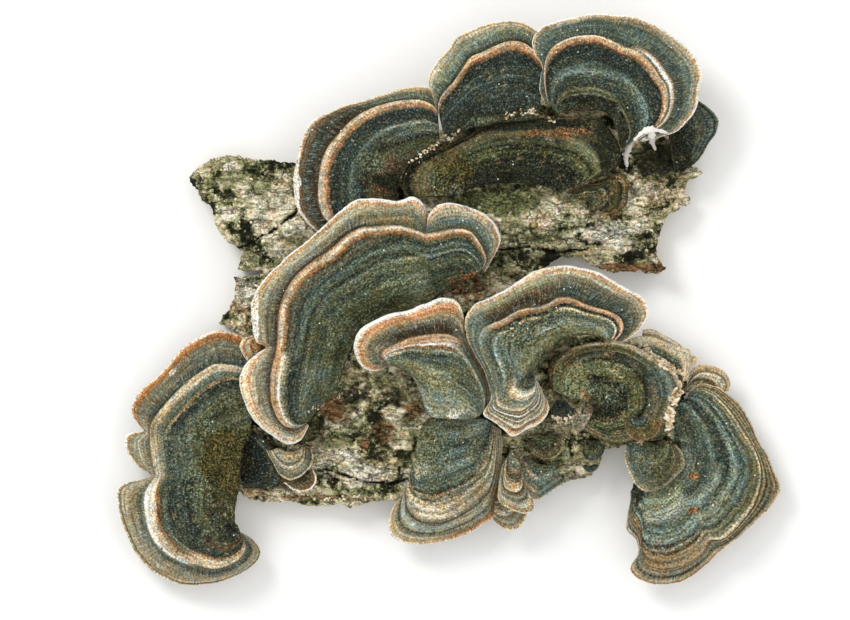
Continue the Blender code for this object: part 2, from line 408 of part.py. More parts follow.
            ((-32.2, -15.5), (-56.8, -9.5), (-65.3, -8.5)), ((-30.7, -13.2), (-56.2, -3.7), (-66.0, -3.2)),
            ((-29.0, -11.2), (-54.5, 1.5), (-63.9, 3.0)), ((-26.8, -9.4), (-51.5, 6.8), (-60.2, 8.4)),
            ((-24.2, -7.8), (-47.7, 10.7), (-54.7, 13.7)), ((-21.4, -6.4), (-43.9, 13.6), (-47.5, 19.6)),
            ((-18.4, -5.2), (-39.0, 17.2), (-42.0, 24.2)), ((-15.4, -4.2), (-34.5, 20.8), (-36.5, 29.4)),
            ((-12.6, -3.2), (-29.5, 23.6), (-30.4, 33.3)), ((-10.0, -2.2), (-24.0, 24.1), (-24.0, 33.9)),
            ((-7.8, -1.2), (-18.9, 24.8), (-17.5, 33.0)), ((-5.8, 0.0), (-14.0, 24.2), (-11.4, 34.1)),
            ((-4.2, 1.2), (-10.3, 22.9), (-8.1, 31.0)), ((-3.0, 2.3), (-7.8, 22.0), (-7.7, 23.6)),
            ((-1.9, 3.3), (-5.5, 22.3), (-6.9, 28.0)), ((-0.5, 4.3), (-2.0, 22.9), (-3.8, 31.6)),
            ((1.0, 5.1), (2.0, 23.6), (1.5, 32.2)), ((2.7, 5.8), (6.5, 23.1), (8.5, 30.3)),
            ((4.3, 6.4), (9.2, 20.5), (15.2, 25.5)), ((5.8, 6.9), (11.3, 16.8), (17.3, 20.0)),
            ((7.2, 7.3), (12.3, 13.4), (14.8, 14.2)), ((8.4, 7.7), (11.0, 10.4), (11.8, 9.2)),
        ],
    },
    "cap_centre_left": {
        "rows": WIDE_ROWS, "colour": SLATE, "heights": (25.5, 32.0, 27.0), "wave": 0.9, "foot": (3, 8, 0.34),
        "rays": [
            ((-17.3, -22.5), (-19.5, -21.6), (-21.5, -22.7)),
            ((-16.3, -22.6), (-21.0, -19.9), (-25.0, -23.7)),
            ((-15.2, -23.2), (-22.2, -18.6), (-29.0, -22.2)),
            ((-13.7, -24.2), (-21.5, -17.2), (-31.5, -16.3)),
            ((-12.0, -26.0), (-19.0, -15.6), (-30.3, -11.1)),
            ((-10.4, -28.6), (-16.2, -13.9), (-26.0, -7.2)),
            ((-9.2, -31.7), (-13.2, -12.6), (-20.0, -4.8)), ((-8.4, -34.4), (-9.0, -11.9), (-13.5, -3.4)),
            ((-7.6, -37.0), (-5.2, -11.5), (-8.0, -1.2)), ((-5.6, -38.8), (-1.8, -11.5), (-2.6, 0.6)),
            ((-2.8, -39.2), (1.3, -12.2), (2.4, -0.5)), ((0.0, -39.4), (3.7, -13.4), (4.6, -4.2)),
            ((2.3, -39.5), (5.2, -15.2), (5.2, -11.0)), ((4.2, -39.6), (7.4, -18.6), (7.9, -17.4)),
            ((5.8, -39.6), (9.4, -22.6), (10.4, -22.0)), ((7.2, -39.5), (11.4, -27.6), (12.6, -27.0)),
            ((8.5, -39.2), (12.2, -33.0), (13.6, -33.0)), ((9.7, -38.7), (11.6, -37.0), (12.6, -37.0)),
        ],
    },
    "cap_centre_right": {
        "rows": WIDE_ROWS, "colour": SLATE, "heights": (27.0, 34.0, 27.5), "wave": 1.0, "foot": (7, 14, 0.34),
        "rays": [
            ((50.0, -12.2), (55.0, -13.4), (57.8, -13.9)), ((48.5, -11.8), (57.0, -11.3), (61.0, -11.8)),
            ((47.0, -11.6), (57.6, -8.2), (64.5, -8.2)), ((45.4, -11.5), (56.3, -5.8), (66.2, -4.0)),
            ((43.8, -11.6), (53.0, -3.9), (64.4, 0.5)), ((42.2, -11.8), (48.5, -2.7), (58.5, 4.0)),
            ((40.6, -12.0), (44.5, -1.4), (52.0, 8.0)), ((39.1, -12.3), (41.0, 0.2), (45.5, 10.4)),
            ((37.8, -12.7), (36.5, 0.6), (39.5, 11.3)), ((36.7, -13.2), (32.8, -1.4), (33.0, 11.0)),
            ((35.7, -13.8), (29.0, -2.8), (27.1, 8.9)), ((34.9, -14.5), (25.0, -3.2), (22.6, 6.0)),
            ((34.3, -15.2), (21.5, -4.5), (18.5, 3.4)), ((33.9, -15.9), (18.0, -6.5), (13.5, 0.8)),
            ((33.6, -16.6), (14.5, -8.0), (8.8, -1.3)), ((33.3, -17.3), (11.5, -9.4), (5.8, -4.4)),
            ((33.0, -18.0), (9.8, -12.8), (5.6, -11.4)), ((32.2, -19.0), (10.4, -17.4), (8.2, -17.6)),
            ((31.2, -20.1), (12.8, -22.2), (10.8, -22.2)), ((30.2, -21.2), (14.5, -27.2), (12.9, -27.2)),
            ((29.2, -22.3), (15.2, -32.0), (13.8, -33.0)), ((28.2, -23.3), (15.6, -35.0), (11.4, -37.8)),
            ((27.9, -24.0), (18.2, -36.5), (14.8, -40.5)), ((27.75, -24.5), (21.3, -37.0), (18.2, -43.1)),
            ((27.7, -24.9), (24.0, -36.8), (21.2, -45.3)), ((27.7, -25.2), (26.5, -35.3), (26.0, -42.9)),
            ((27.8, -25.4), (28.5, -33.0), (31.5, -39.6)), ((27.95, -25.5), (29.0, -30.5), (33.3, -36.0)),
            ((28.1, -25.5), (28.8, -28.0), (31.0, -30.6)), ((28.25, -25.4), (28.7, -26.3), (29.6, -27.2)),
        ],
    },
}


def clear_objects():
    """Start from an empty scene."""
    for old in list(bpy.data.objects):
        bpy.data.objects.remove(old, do_unlink=True)


def finish_material(name, colour):
    """A plain matt finish in the piece's main colour."""
    material = bpy.data.materials.new(name)
    material.use_nodes = True
    shader = material.node_tree.nodes["Principled BSDF"]
    shader.inputs["Base Color"].default_value = (*colour, 1.0)
    shader.inputs["Roughness"].default_value = ROUGHNESS
    shader.inputs["Metallic"].default_value = 0.0
    return material


def add_piece(name, points, faces, colour):
    """One closed solid in its own object, from points in millimetres."""
    mesh = bpy.data.meshes.new(name)
    body = bmesh.new()
    corners = [body.verts.new(Vector(point) * MM) for point in points]
    for face in faces:
        body.faces.new([corners[index] for index in face])
    bmesh.ops.triangulate(body, faces=body.faces[:])
    bmesh.ops.recalc_face_normals(body, faces=body.faces[:])
    body.to_mesh(mesh)
    body.free()
    mesh.materials.append(finish_material(name, colour))
    mesh.shade_smooth()
    mesh.set_sharp_from_angle(angle=math.radians(SHARP_ANGLE))
    piece = bpy.data.objects.new(name, mesh)
    bpy.context.scene.collection.objects.link(piece)
    return piece


def smooth_step(value):
    """Ease from 0 to 1."""
    value = min(max(value, 0.0), 1.0)
    return value * value * (3.0 - 2.0 * value)


def map_cell(xy):
    """Cells of the height map under points seen from above."""
    cell_x = np.floor((xy[..., 0] + MAP_HALF_X) / CELL).astype(int)
    cell_y = np.floor((xy[..., 1] + MAP_HALF_Y) / CELL).astype(int)
    return cell_x, cell_y


def share_points(steps):
    """Evenly spread shares of a triangle's three corners."""
    shares = [(i, j, steps - i - j) for i in range(steps + 1) for j in range(steps + 1 - i)]
    return np.array(shares, dtype=float) / steps


def add_to_pile(pile, points, triangles):
    """Raise the height map to a piece's upper surface."""
    for triangle in triangles:
        corners = points[list(triangle)]
        reach = np.abs(corners - np.roll(corners, 1, axis=0)).max()
        spread = share_points(max(2, int(reach / (CELL * 0.45)) + 1)) @ corners
        cell_x, cell_y = map_cell(spread)
        np.maximum.at(pile, (cell_x, cell_y), spread[:, 2])


def widened(pile):
    """Height map with each cell raised to its highest neighbour, which keeps pieces clear sideways too."""
    wide = pile.copy()
    for shift_x in (-1, 0, 1):
        for shift_y in (-1, 0, 1):
            wide = np.maximum(wide, np.roll(pile, (shift_x, shift_y), axis=(0, 1)))
    return wide


def settle(wide, plan, low, triangles):
    """Raise an underside until it clears the pile by the gap at every point."""
    shares = share_points(12)
    index = np.array(triangles)
    cell_x, cell_y = map_cell(np.einsum("ks,tsc->tkc", shares, plan[index]))
    floor = wide[cell_x, cell_y] + GAP
    weight = shares / (shares ** 2).sum(axis=1, keepdims=True)
    for _ in range(SETTLE_ROUNDS):
        short = np.maximum(floor - np.einsum("ks,ts->tk", shares, low[index]), 0.0)
        if short.max() < 1e-6:
            break
        raise_by = np.zeros(len(low))
        for corner in range(3):
            np.maximum.at(raise_by, index[:, corner], (short * weight[:, corner]).max(axis=1))
        low = low + raise_by
    short = np.maximum(floor - np.einsum("ks,ts->tk", shares, low[index]), 0.0).max(axis=1)
    for corner in range(3):
        np.maximum.at(low, index[:, corner], low[index[:, corner]] + short)
    return low


def bark_height(x, y, edge):
    """Upper surface of the bark: a low dome with long furrows, which falls away to a broken edge."""
    dome = 1.0 - BARK_FALL_OFF * ((x / BARK_ROUND_X) ** 2 + (y / BARK_ROUND_Y) ** 2)
    furrows = FURROW * math.sin(0.52 * y + 0.06 * x)
    cross_furrows = CROSS_FURROW * math.sin(0.23 * x - 0.31 * y + 1.7)
    lumps = LUMP * math.sin(0.19 * x + 0.4) * math.cos(0.27 * y)
    middle = BARK_EDGE + (BARK_MIDDLE - BARK_EDGE) * dome + furrows + cross_furrows + lumps
    fall = 1.0 - smooth_step(edge / BARK_EDGE_BAND)
    broken = BARK_EDGE_DROP + 1.5 * math.sin(0.37 * x + 0.29 * y)
    return middle - fall * broken


def edge_distance(point, outline):
    """Distance from a point to the nearest side of a closed outline."""
    best = 1e9
    for start, end in zip(outline, outline[1:] + outline[:1]):
        along = Vector(end) - Vector(start)
        share = min(max((Vector(point) - Vector(start)).dot(along) / along.length_squared, 0.0), 1.0)
        best = min(best, (Vector(point) - Vector(start) - share * along).length)
    return best


def inside(point, outline):
    """Whether a point lies in a closed outline."""
    crossings = 0
    for (ax, ay), (bx, by) in zip(outline, outline[1:] + outline[:1]):
        if (ay > point[1]) != (by > point[1]):
            if point[0] < ax + (point[1] - ay) * (bx - ax) / (by - ay):
                crossings += 1
    return crossings % 2 == 1


def inset(outline, amount):
    """Outline with each point moved inwards, for one that runs clockwise."""
    moved = []
    for index, here in enumerate(outline):
        before = Vector(outline[index - 1])
        after = Vector(outline[(index + 1) % len(outline)])
        along = (after - before).normalized()
        moved.append((here[0] + along.y * amount, here[1] - along.x * amount))
    return moved


def build_bark(pile):
    """The slab: a flat resting face, an undercut side and a rough domed top."""
    outline = BARK_OUTLINE
    inner = []
    columns = int(2 * BARK_HALF_X / BARK_GRID)
    rows = int(2 * BARK_HALF_Y / BARK_GRID)
    for column in range(columns):
        for row in range(rows):
            x = BARK_GRID * (column + 0.5 * (row % 2)) - BARK_HALF_X
            y = BARK_GRID * row - BARK_HALF_Y
            x += BARK_GRID_WANDER * math.sin(2.3 * row + column)
            y += BARK_GRID_WANDER * math.cos(1.7 * column - row)
            if inside((x, y), outline) and edge_distance((x, y), outline) > 0.45 * BARK_GRID:
                inner.append((x, y))
    count = len(outline)
    sides = [(i, (i + 1) % count) for i in range(count)]
    plan = [Vector(point) for point in outline + inner]
    flat = delaunay_2d_cdt(plan, sides, [], 1, 1e-5)
    top = [(p.x, p.y, bark_height(p.x, p.y, edge_distance(p, outline))) for p in flat[0]]
    top_faces = [tuple(face) for face in flat[2]]
    foot = inset(outline, BARK_UNDERCUT)
    foot_flat = delaunay_2d_cdt([Vector(point) for point in foot], sides, [], 1, 1e-5)
    belly = len(top)
    points = top + [(x, y, BARK_HEEL) for x, y in outline] + [(x, y, 0.0) for x, y in foot]
    heel = belly + count
    faces = list(top_faces)
    for start, end in sides:
        faces.append((start, end, belly + end, belly + start))
        faces.append((belly + start, belly + end, heel + end, heel + start))
    faces += [tuple(heel + index for index in reversed(face)) for face in foot_flat[2]]
    add_to_pile(pile, np.array(top), top_faces)
    add_to_pile(pile, np.array([(x, y, BARK_HEEL) for x, y in outline + foot]), foot_faces(count))
    return add_piece("bark_slab", points, faces, BARK)


def foot_faces(count):
    """Ring of faces between an outline and its inset."""
    ring = []
    for start in range(count):
        end = (start + 1) % count
        ring += [(start, end, count + start), (end, count + end, count + start)]
    return ring


def bracket_top(spec, ray, row, wave_seed):
    """Height of a bracket's upper surface, before it is laid on the pile."""
    base, ridge, margin = spec["heights"]
    if row <= 1.0:
        height = base + (ridge - base) * math.sin(row * math.pi / 2)
    else:
        height = ridge - RIDGE_STEP * smooth_step((row - RIDGE_AT) / RIDGE_WIDE)
        height += (margin - ridge + RIDGE_STEP) * max(row - 1.1, 0.0) ** 1.4
    wave = spec["wave"] * max(row - 0.6, 0.0) / 1.4
    slow = math.sin(0.93 * ray + wave_seed)
    quick = math.sin(2.1 * ray + 2.0 * wave_seed)
    return height + wave * (slow + 0.5 * quick)


def bracket_thick(spec, ray, row):
    """Thickness of a bracket: a thin rim, a stouter base, and a foot that reaches down."""
    thick = RIM_THICK + BASE_EXTRA * (1.0 - row / 2.0) ** 1.5
    first, last, reach = spec["foot"]
    if first <= ray <= last and row <= reach:
        thick += FOOT_DEPTH
    return thick


def build_bracket(name, spec, pile, wave_seed):
    """One bracket as a fan: rays from base to margin, rows of equal age across them."""
    rows = spec["rows"]
    rays = spec["rays"]
    across = len(rows)
    plan = []
    top = []
    thick = []
    for ray, (base, ridge, margin) in enumerate(rays):
        for row in rows:
            start, end, share = (base, ridge, row) if row <= 1.0 else (ridge, margin, row - 1.0)
            plan.append((start[0] + (end[0] - start[0]) * share, start[1] + (end[1] - start[1]) * share))
            top.append(bracket_top(spec, ray, row, wave_seed))
            thick.append(bracket_thick(spec, ray, row))
    plan = np.array(plan)
    top = np.array(top)
    thick = np.array(thick)
    triangles = []
    for ray in range(len(rays) - 1):
        for row in range(across - 1):
            near = ray * across + row
            far = near + across
            triangles += [(near, far, far + 1), (near, far + 1, near + 1)]
    wide = widened(pile)
    cell_x, cell_y = map_cell(plan)
    ground = wide[cell_x, cell_y]
    thick = np.where(ground > OPEN_GROUND, thick, np.minimum(thick, PLATE_THICK))
    low = np.maximum(top - thick, ground + GAP)
    low = settle(wide, plan, low, triangles)
    lift = np.maximum(low + LEAST_THICK - top, 0.0).reshape(len(rays), across)
    for _ in range(SPREAD_ROUNDS):
        padded = np.pad(lift, 1, mode="edge")
        mean = (padded[:-2, 1:-1] + padded[2:, 1:-1] + padded[1:-1, :-2] + padded[1:-1, 2:]) / 4
        lift = np.maximum(lift, LEAST_SHARE * mean)
    top = top + lift.ravel()
    low = np.maximum(low, top - thick)
    count = len(plan)
    points = [(*plan[i], top[i]) for i in range(count)] + [(*plan[i], low[i]) for i in range(count)]
    faces = list(triangles) + [(count + a, count + c, count + b) for a, b, c in triangles]
    last = (len(rays) - 1) * across
    ring = list(range(across)) + [ray * across + across - 1 for ray in range(1, len(rays))]
    ring += [last + row for row in range(across - 2, -1, -1)]
    ring += [ray * across for ray in range(len(rays) - 2, 0, -1)]
    for start, end in zip(ring, ring[1:] + ring[:1]):
        faces.append((start, end, count + end, count + start))
    add_to_pile(pile, np.array(points[:count]), triangles)
    return add_piece(name, points, faces, spec["colour"])


def build_all():
    """The slab first, then each bracket on top of what already lies below it."""
    clear_objects()
    pile = np.zeros((int(2 * MAP_HALF_X / CELL) + 1, int(2 * MAP_HALF_Y / CELL) + 1))
    build_bark(pile)
    for number, (name, spec) in enumerate(BRACKETS.items()):
        build_bracket(name, spec, pile, 1.3 * number)


build_all()
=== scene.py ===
"""Turkey tail brackets on their loose slab of bark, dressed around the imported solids, in metres."""

import math

import bpy
import numpy as np
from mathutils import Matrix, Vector, noise
from mathutils.geometry import delaunay_2d_cdt


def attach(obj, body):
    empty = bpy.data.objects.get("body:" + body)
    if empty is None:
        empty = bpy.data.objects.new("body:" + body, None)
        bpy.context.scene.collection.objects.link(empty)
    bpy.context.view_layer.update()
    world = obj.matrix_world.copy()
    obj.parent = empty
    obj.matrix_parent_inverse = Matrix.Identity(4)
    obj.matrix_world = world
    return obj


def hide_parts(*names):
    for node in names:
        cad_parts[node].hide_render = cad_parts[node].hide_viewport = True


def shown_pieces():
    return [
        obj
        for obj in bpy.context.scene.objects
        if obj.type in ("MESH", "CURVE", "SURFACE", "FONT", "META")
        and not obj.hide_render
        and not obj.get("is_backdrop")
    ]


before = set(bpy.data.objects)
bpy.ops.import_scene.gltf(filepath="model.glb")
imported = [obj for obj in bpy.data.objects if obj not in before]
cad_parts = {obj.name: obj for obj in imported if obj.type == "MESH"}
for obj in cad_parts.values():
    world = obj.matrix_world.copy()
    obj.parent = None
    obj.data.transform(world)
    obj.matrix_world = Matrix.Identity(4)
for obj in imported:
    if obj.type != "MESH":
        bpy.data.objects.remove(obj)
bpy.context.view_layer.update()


# Studio. The cluster lies on a plain white sheet under soft daylight that comes from the upper left. It is
# seen from straight above through a long lens, so that its heights hardly shift its outline.
MM = 0.001
PHOTO_SIZE_PX = (850, 620)
PX_PER_MM = 3.0
ORIGIN_PX = (449.0, 300.0)
CAP_PLANE_MM = 16.0
LENS_MM = 300.0
SENSOR_MM = 36.0


def add_object(name, data):
    """An object that stands in the scene."""
    thing = bpy.data.objects.new(name, data)
    bpy.context.scene.collection.objects.link(thing)
    return thing


camera_data = bpy.data.cameras.new("overhead_camera")
camera_data.lens = LENS_MM
camera_data.sensor_width = SENSOR_MM
camera = add_object("overhead_camera", camera_data)
view_width = PHOTO_SIZE_PX[0] / PX_PER_MM * MM
camera.location = (
    (PHOTO_SIZE_PX[0] / 2 - ORIGIN_PX[0]) / PX_PER_MM * MM,
    (ORIGIN_PX[1] - PHOTO_SIZE_PX[1] / 2) / PX_PER_MM * MM,
    CAP_PLANE_MM * MM + view_width * LENS_MM / SENSOR_MM,
)
bpy.context.scene.camera = camera
bpy.context.scene.view_settings.view_transform = "Standard"


TONES = {"paper": "#fafaf9", "paper_shade": "#f4f4f2"}


def linear(tone):
    """A linear colour from a tone's name or its sRGB hex code."""
    code = TONES.get(tone, tone)
    parts = [int(code[place:place + 2], 16) / 255 for place in (1, 3, 5)]
    return tuple(p / 12.92 if p <= 0.04045 else ((p + 0.055) / 1.055) ** 2.4 for p in parts) + (1.0,)


def is_output(value):
    """Whether a value comes out of a node."""
    return isinstance(value, bpy.types.NodeSocket)


def add_node(tree, kind, links=None, **settings):
    """A node with its settings. Each link is an input's name with a value or another node's output."""
    node = tree.nodes.new(kind)
    for name, value in settings.items():
        setattr(node, name, value)
    for name, value in (links or {}).items():
        if is_output(value):
            tree.links.new(value, node.inputs[name])
        else:
            node.inputs[name].default_value = value
    return node


def grain(vector, scale, detail=2.0, roughness=0.5, output="Fac"):
    """Fractal noise from 0 to 1. On a piece, a scale of 1000 gives grains about a millimetre wide."""
    links = {"Vector": vector, "Scale": scale, "Detail": detail, "Roughness": roughness}
    return add_node(vector.id_data, "ShaderNodeTexNoise", links).outputs[output]


def over(share, below, above, blend="MIX"):
    """One colour laid over another, each a tone or a node's output."""
    tree = next(value for value in (share, below, above) if is_output(value)).id_data
    node = add_node(tree, "ShaderNodeMix", {"Factor": share}, data_type="RGBA", blend_type=blend)
    for socket, colour in ((node.inputs[6], below), (node.inputs[7], above)):
        if is_output(colour):
            tree.links.new(colour, socket)
        else:
            socket.default_value = linear(colour)
    return node.outputs[2]


def new_material(name, roughness):
    """A material, its shader, and the coordinates of the piece that wears it."""
    material = bpy.data.materials.new(name)
    material.use_nodes = True
    shader = material.node_tree.nodes["Principled BSDF"]
    shader.inputs["Roughness"].default_value = roughness
    return material, shader, add_node(material.node_tree, "ShaderNodeTexCoord").outputs["Object"]


def photo_paper():
    """Seamless background paper: matt white pulp board, smooth at this distance."""
    material, shader, place = new_material("white_paper_board", 0.9)
    tone = over(grain(place, 40.0, 3.0), "paper_shade", "paper")
    material.node_tree.links.new(tone, shader.inputs["Base Color"])
    return material


FLOOR_HALF = 2.0
FLOOR_DROP = 0.0002
floor_mesh = bpy.data.meshes.new("paper_floor")
corners = [(x * FLOOR_HALF, y * FLOOR_HALF, -FLOOR_DROP) for x, y in ((-1, -1), (1, -1), (1, 1), (-1, 1))]
floor_mesh.from_pydata(corners, [], [(0, 1, 2, 3)])
floor_mesh.materials.append(photo_paper())
paper_floor = add_object("paper_floor", floor_mesh)
paper_floor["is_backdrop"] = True

SKY_STRENGTH = 0.9
WINDOW_WATTS = 10.3
FILL_WATTS = 2.0
world = bpy.data.worlds.new("soft_daylight")
world.use_nodes = True
world.node_tree.nodes["Background"].inputs["Color"].default_value = (1.0, 1.0, 1.0, 1.0)
world.node_tree.nodes["Background"].inputs["Strength"].default_value = SKY_STRENGTH
bpy.context.scene.world = world
for name, place, side, watts in (
    ("window_light", (-0.75, 0.85, 1.05), 0.55, WINDOW_WATTS),
    ("fill_light", (0.9, -0.7, 0.8), 0.9, FILL_WATTS),
):
    light_data = bpy.data.lights.new(name, "AREA")
    light_data.size = side
    light_data.energy = watts
    light = add_object(name, light_data)
    light.location = place
    light.rotation_euler = (-Vector(place)).to_track_quat("-Z", "Y").to_euler()


# Bark slab. A loose piece of old bark, cork outside and bast fibre underneath, broken off all round. It is
# weathered grey, cracked along the grain, with pale lichen, green moss and rusty inner bark at its breaks.
BARK_MIDDLE = 13.5
BARK_EDGE = 7.5
BARK_ROUND_X = 90.0
BARK_ROUND_Y = 70.0
BARK_FALL_OFF = 0.35
BARK_EDGE_BAND = 9.0
BARK_EDGE_DROP = 2.6
BARK_UNDERCUT = 1.2
BREAK_WANDER = 0.7
BREAK_BAND = 1.6
BREAK_DROP = 0.9
PLATE_WIDE = 9.5
PLATE_TALL = 5.2
PLATE_GAP = 0.11
PLATE_GAP_DEPTH = 1.1
FURROW_WIDTH = 0.05
FURROW_DEPTH = 0.8
UNDERSIDE_RELIEF = 0.25
BARK_STEP = 0.7
BARK_SIDE_ROWS = 9
BARK_OUTLINE = [
    (-87, 41), (-83.3, 44), (-79.7, 46.9), (-73, 48.3), (-62.3, 46.7), (-52.7, 45.7), (-39.7, 46),
    (-24, 51), (-8, 55), (8, 59.5), (26, 65.5), (45, 67.5), (60, 62), (72.5, 56.5), (77, 51), (79.5, 45.5),
    (84.7, 42.3), (79.8, 40.2), (78.4, 35.9), (80.7, 34.6), (79.3, 31.4), (73, 29), (71.2, 24), (69, 17.6),
    (69.6, 13.8), (72.3, 11), (70, 8.6), (63.7, 9.7), (54.3, 9.7), (47.7, 11.3), (44.5, 14.7), (37, 14.3),
    (29.5, 9.5), (31.5, 2), (37, -6.7), (50.3, -11.7), (63.7, -15), (76, -20), (79.3, -27.5), (77, -43.3),
    (71, -49.5), (59.7, -48.3), (51.8, -50), (49.6, -56), (46.5, -59.3), (40.3, -60), (33, -64.9),
    (20.3, -63.5), (7, -61.5), (-6.3, -62), (-15, -66.7), (-22.3, -66.7), (-30.5, -69), (-38, -68.3),
    (-48, -68.9), (-53, -66.7), (-60.3, -68), (-68, -66), (-71.5, -63), (-73.5, -55), (-72.5, -45),
    (-70.5, -34), (-69.6, -20), (-69.8, -11), (-77, -7.6), (-73.4, -3.3), (-70.8, 2), (-71.8, 7.6),
    (-61.6, 8.6), (-61.6, 9.9), (-70.4, 10.4), (-68.8, 16.8), (-74.6, 20), (-77, 23.5), (-79.2, 31),
    (-82.4, 33.4), (-84.6, 38),
]

# Where the bark is rotten and lumpy: x, y, half width, half height, in millimetres, and strength
BARK_KNOBS = [
    (35.0, -34.0, 5, 8, 1.2), (41.0, -44.0, 7, 5, 1.2), (50.0, -52.0, 7, 4, 0.9), (-24.0, -30.0, 12, 4, 0.7),
    (8.0, 4.0, 7, 6, 1.0), (70.0, 45.0, 9, 6, 0.9), (-45.0, -40.0, 5, 5, 0.8), (22.0, 30.0, 12, 3, 0.3),
    (-64.0, -60.0, 6, 5, 0.8), (-80.0, 40.0, 5, 4, 0.5),
]

# Cracks, as points in millimetres with the width and depth of each
BARK_CRACKS = [
    ((-72.0, 16.5), (-66.0, 19.0), (-62.0, 22.0), (-57.0, 24.0), (-50.0, 31.0), 0.4, 2.0),
    ((-59.3, 46.0), (-59.0, 42.0), (-59.6, 38.5), 0.45, 1.2),
    ((-63.0, 31.5), (-58.0, 32.5), (-54.0, 30.5), 0.4, 0.9),
    ((-62.3, 28.8), (-62.0, 24.0), 0.4, 0.9),
    ((17.0, 16.8), (26.0, 17.6), (36.0, 16.2), (47.0, 17.0), 0.45, 1.7),
    ((53.0, 28.8), (62.0, 27.6), (71.0, 30.4), 0.35, 1.3),
    ((29.3, 31.0), (29.8, 26.6), 0.4, 1.0),
    ((20.0, 25.0), (33.0, 23.2), (45.0, 24.4), (56.0, 21.8), (68.0, 21.0), 0.45, 1.1),
    ((24.0, 20.6), (40.0, 20.2), (55.0, 18.6), (69.0, 16.8), 0.4, 1.0),
    ((-45.0, -56.5), (-38.5, -57.0), (-30.0, -60.5), (-20.0, -61.5), (-13.0, -59.5), 0.5, 1.6),
    ((-38.3, -50.6), (-38.6, -55.0), (-38.0, -61.0), 0.4, 1.0),
    ((-16.4, -55.8), (-16.8, -62.0), 0.5, 1.5),
    ((-24.0, -38.5), (-22.6, -43.0), (-24.0, -48.0), 0.35, 1.2),
    ((36.0, -40.5), (40.0, -46.0), (41.0, -55.0), 0.4, 1.2),
]

# Where the bark's growths and stains lie, and in the dark list also painted shade beside the brackets: x, y,
# half width, half height, in millimetres, and strength
BARK_PALE = [
    (-55.5, 42.0, 3, 3, 0.8), (-56.0, 35.0, 4, 3, 0.9), (-78.3, 33.5, 3, 3, 0.8),
    (-72.0, 28.4, 6, 4, 0.9), (-64.7, 26.5, 5, 4, 0.8), (-69.7, 22.5, 5, 3, 0.7),
    (-60.0, 16.5, 6, 4, 0.9), (-53.0, 24.5, 4, 4, 0.8), (-68.0, 3.0, 5, 6, 1.2),
    (-73.7, 44.7, 2.2, 1.2, 1.6), (-67.0, 33.0, 4, 4, 0.5), (34.5, 28.0, 6, 4, 0.9),
    (47.5, 29.5, 6, 3, 0.9), (68.0, 36.0, 10, 5, 0.9), (57.0, 24.0, 9, 3.5, 1.0), (60.0, 18.0, 9, 3, 0.9),
    (44.0, 20.0, 8, 3, 0.8), (-27.0, -58.0, 9, 3.5, 1.3), (-34.0, -51.5, 6, 2.5, 1.0),
    (-42.0, -56.0, 3.5, 6, 1.1), (-14.4, -59.5, 1.8, 3, 1.4), (52.0, 22.0, 9, 4, 1.6),
    (40.0, 27.0, 5, 3, 0.8), (-50.0, -64.0, 5, 1.6, 0.7), (38.0, 22.5, 8, 2, 0.7),
    (26.0, 27.0, 4, 3, 0.6), (45.0, -41.0, 5, 4, 1.2), (36.0, -35.0, 5, 3, 0.7), (41.0, -42.0, 6, 3, 0.6),
    (53.0, -53.0, 4, 3, 0.4),
]
BARK_MOSS = [
    (-77.0, 42.0, 6, 3, 0.8), (-67.8, 42.0, 6, 3, 0.9), (-63.5, 37.5, 5, 4, 0.9),
    (-66.0, 14.5, 5, 3, 0.8), (24.0, 34.0, 9, 4, 1.0), (15.0, 33.0, 14, 5, 1.5),
    (30.0, 21.0, 12, 2.5, 1.0), (-76.0, 40.0, 8, 4, 0.9), (-50.0, 20.0, 5, 4, 0.8),
    (-20.0, -45.0, 7, 5, 0.7), (-37.0, -47.0, 6, 4, 1.0), (20.0, 24.0, 8, 5, 0.7),
    (42.0, 25.5, 8, 3, 0.7), (-31.0, -41.6, 6, 4, 0.8), (-12.5, -39.5, 4, 5, 0.9),
    (-40.0, -30.0, 7, 4, 0.8), (-34.0, -66.5, 16, 1.6, 0.8), (-20.0, -62.0, 6, 3, 0.7),
    (36.0, -52.0, 6, 5, 0.9), (32.0, -40.0, 5, 5, 0.8), (56.0, 22.0, 14, 5, 0.6),
    (44.0, -50.0, 5, 5, 0.7), (71.0, 46.0, 10, 6, 1.1), (-24.0, -27.0, 8, 4, 0.9),
]
BARK_RUST = [
    (-39.0, -36.0, 7, 5, 1.25), (-22.6, -43.7, 4, 6, 1.2), (-12.0, -36.0, 4, 4, 1.0),
    (-28.0, -47.9, 2, 2, 1.5), (60.0, 10.5, 13, 2.4, 1.4), (7.0, 5.0, 6, 6, 1.3),
    (-21.0, -55.0, 8, 1.5, 0.8), (-45.0, -65.8, 14, 1.3, 1.1), (38.0, -45.0, 5, 4, 0.7),
    (79.0, 38.0, 3, 3, 0.7), (73.0, 11.0, 3, 3, 0.9),
]
BARK_TAN = [
    (31.3, 26.0, 5, 3, 1.2), (50.3, 29.0, 8, 2, 1.3), (70.3, 35.0, 9, 5, 1.1), (63.0, 37.7, 5, 3, 0.8),
    (-70.0, 0.0, 5, 7, 1.2), (-66.0, -8.0, 4, 4, 0.9), (-58.0, 38.5, 4, 2, 0.8),
    (-64.0, -64.5, 5, 1.5, 1.4), (44.0, -37.5, 3, 3, 0.8), (-24.0, -53.0, 9, 3, 0.9),
    (22.0, 27.0, 4, 2, 0.6),
]
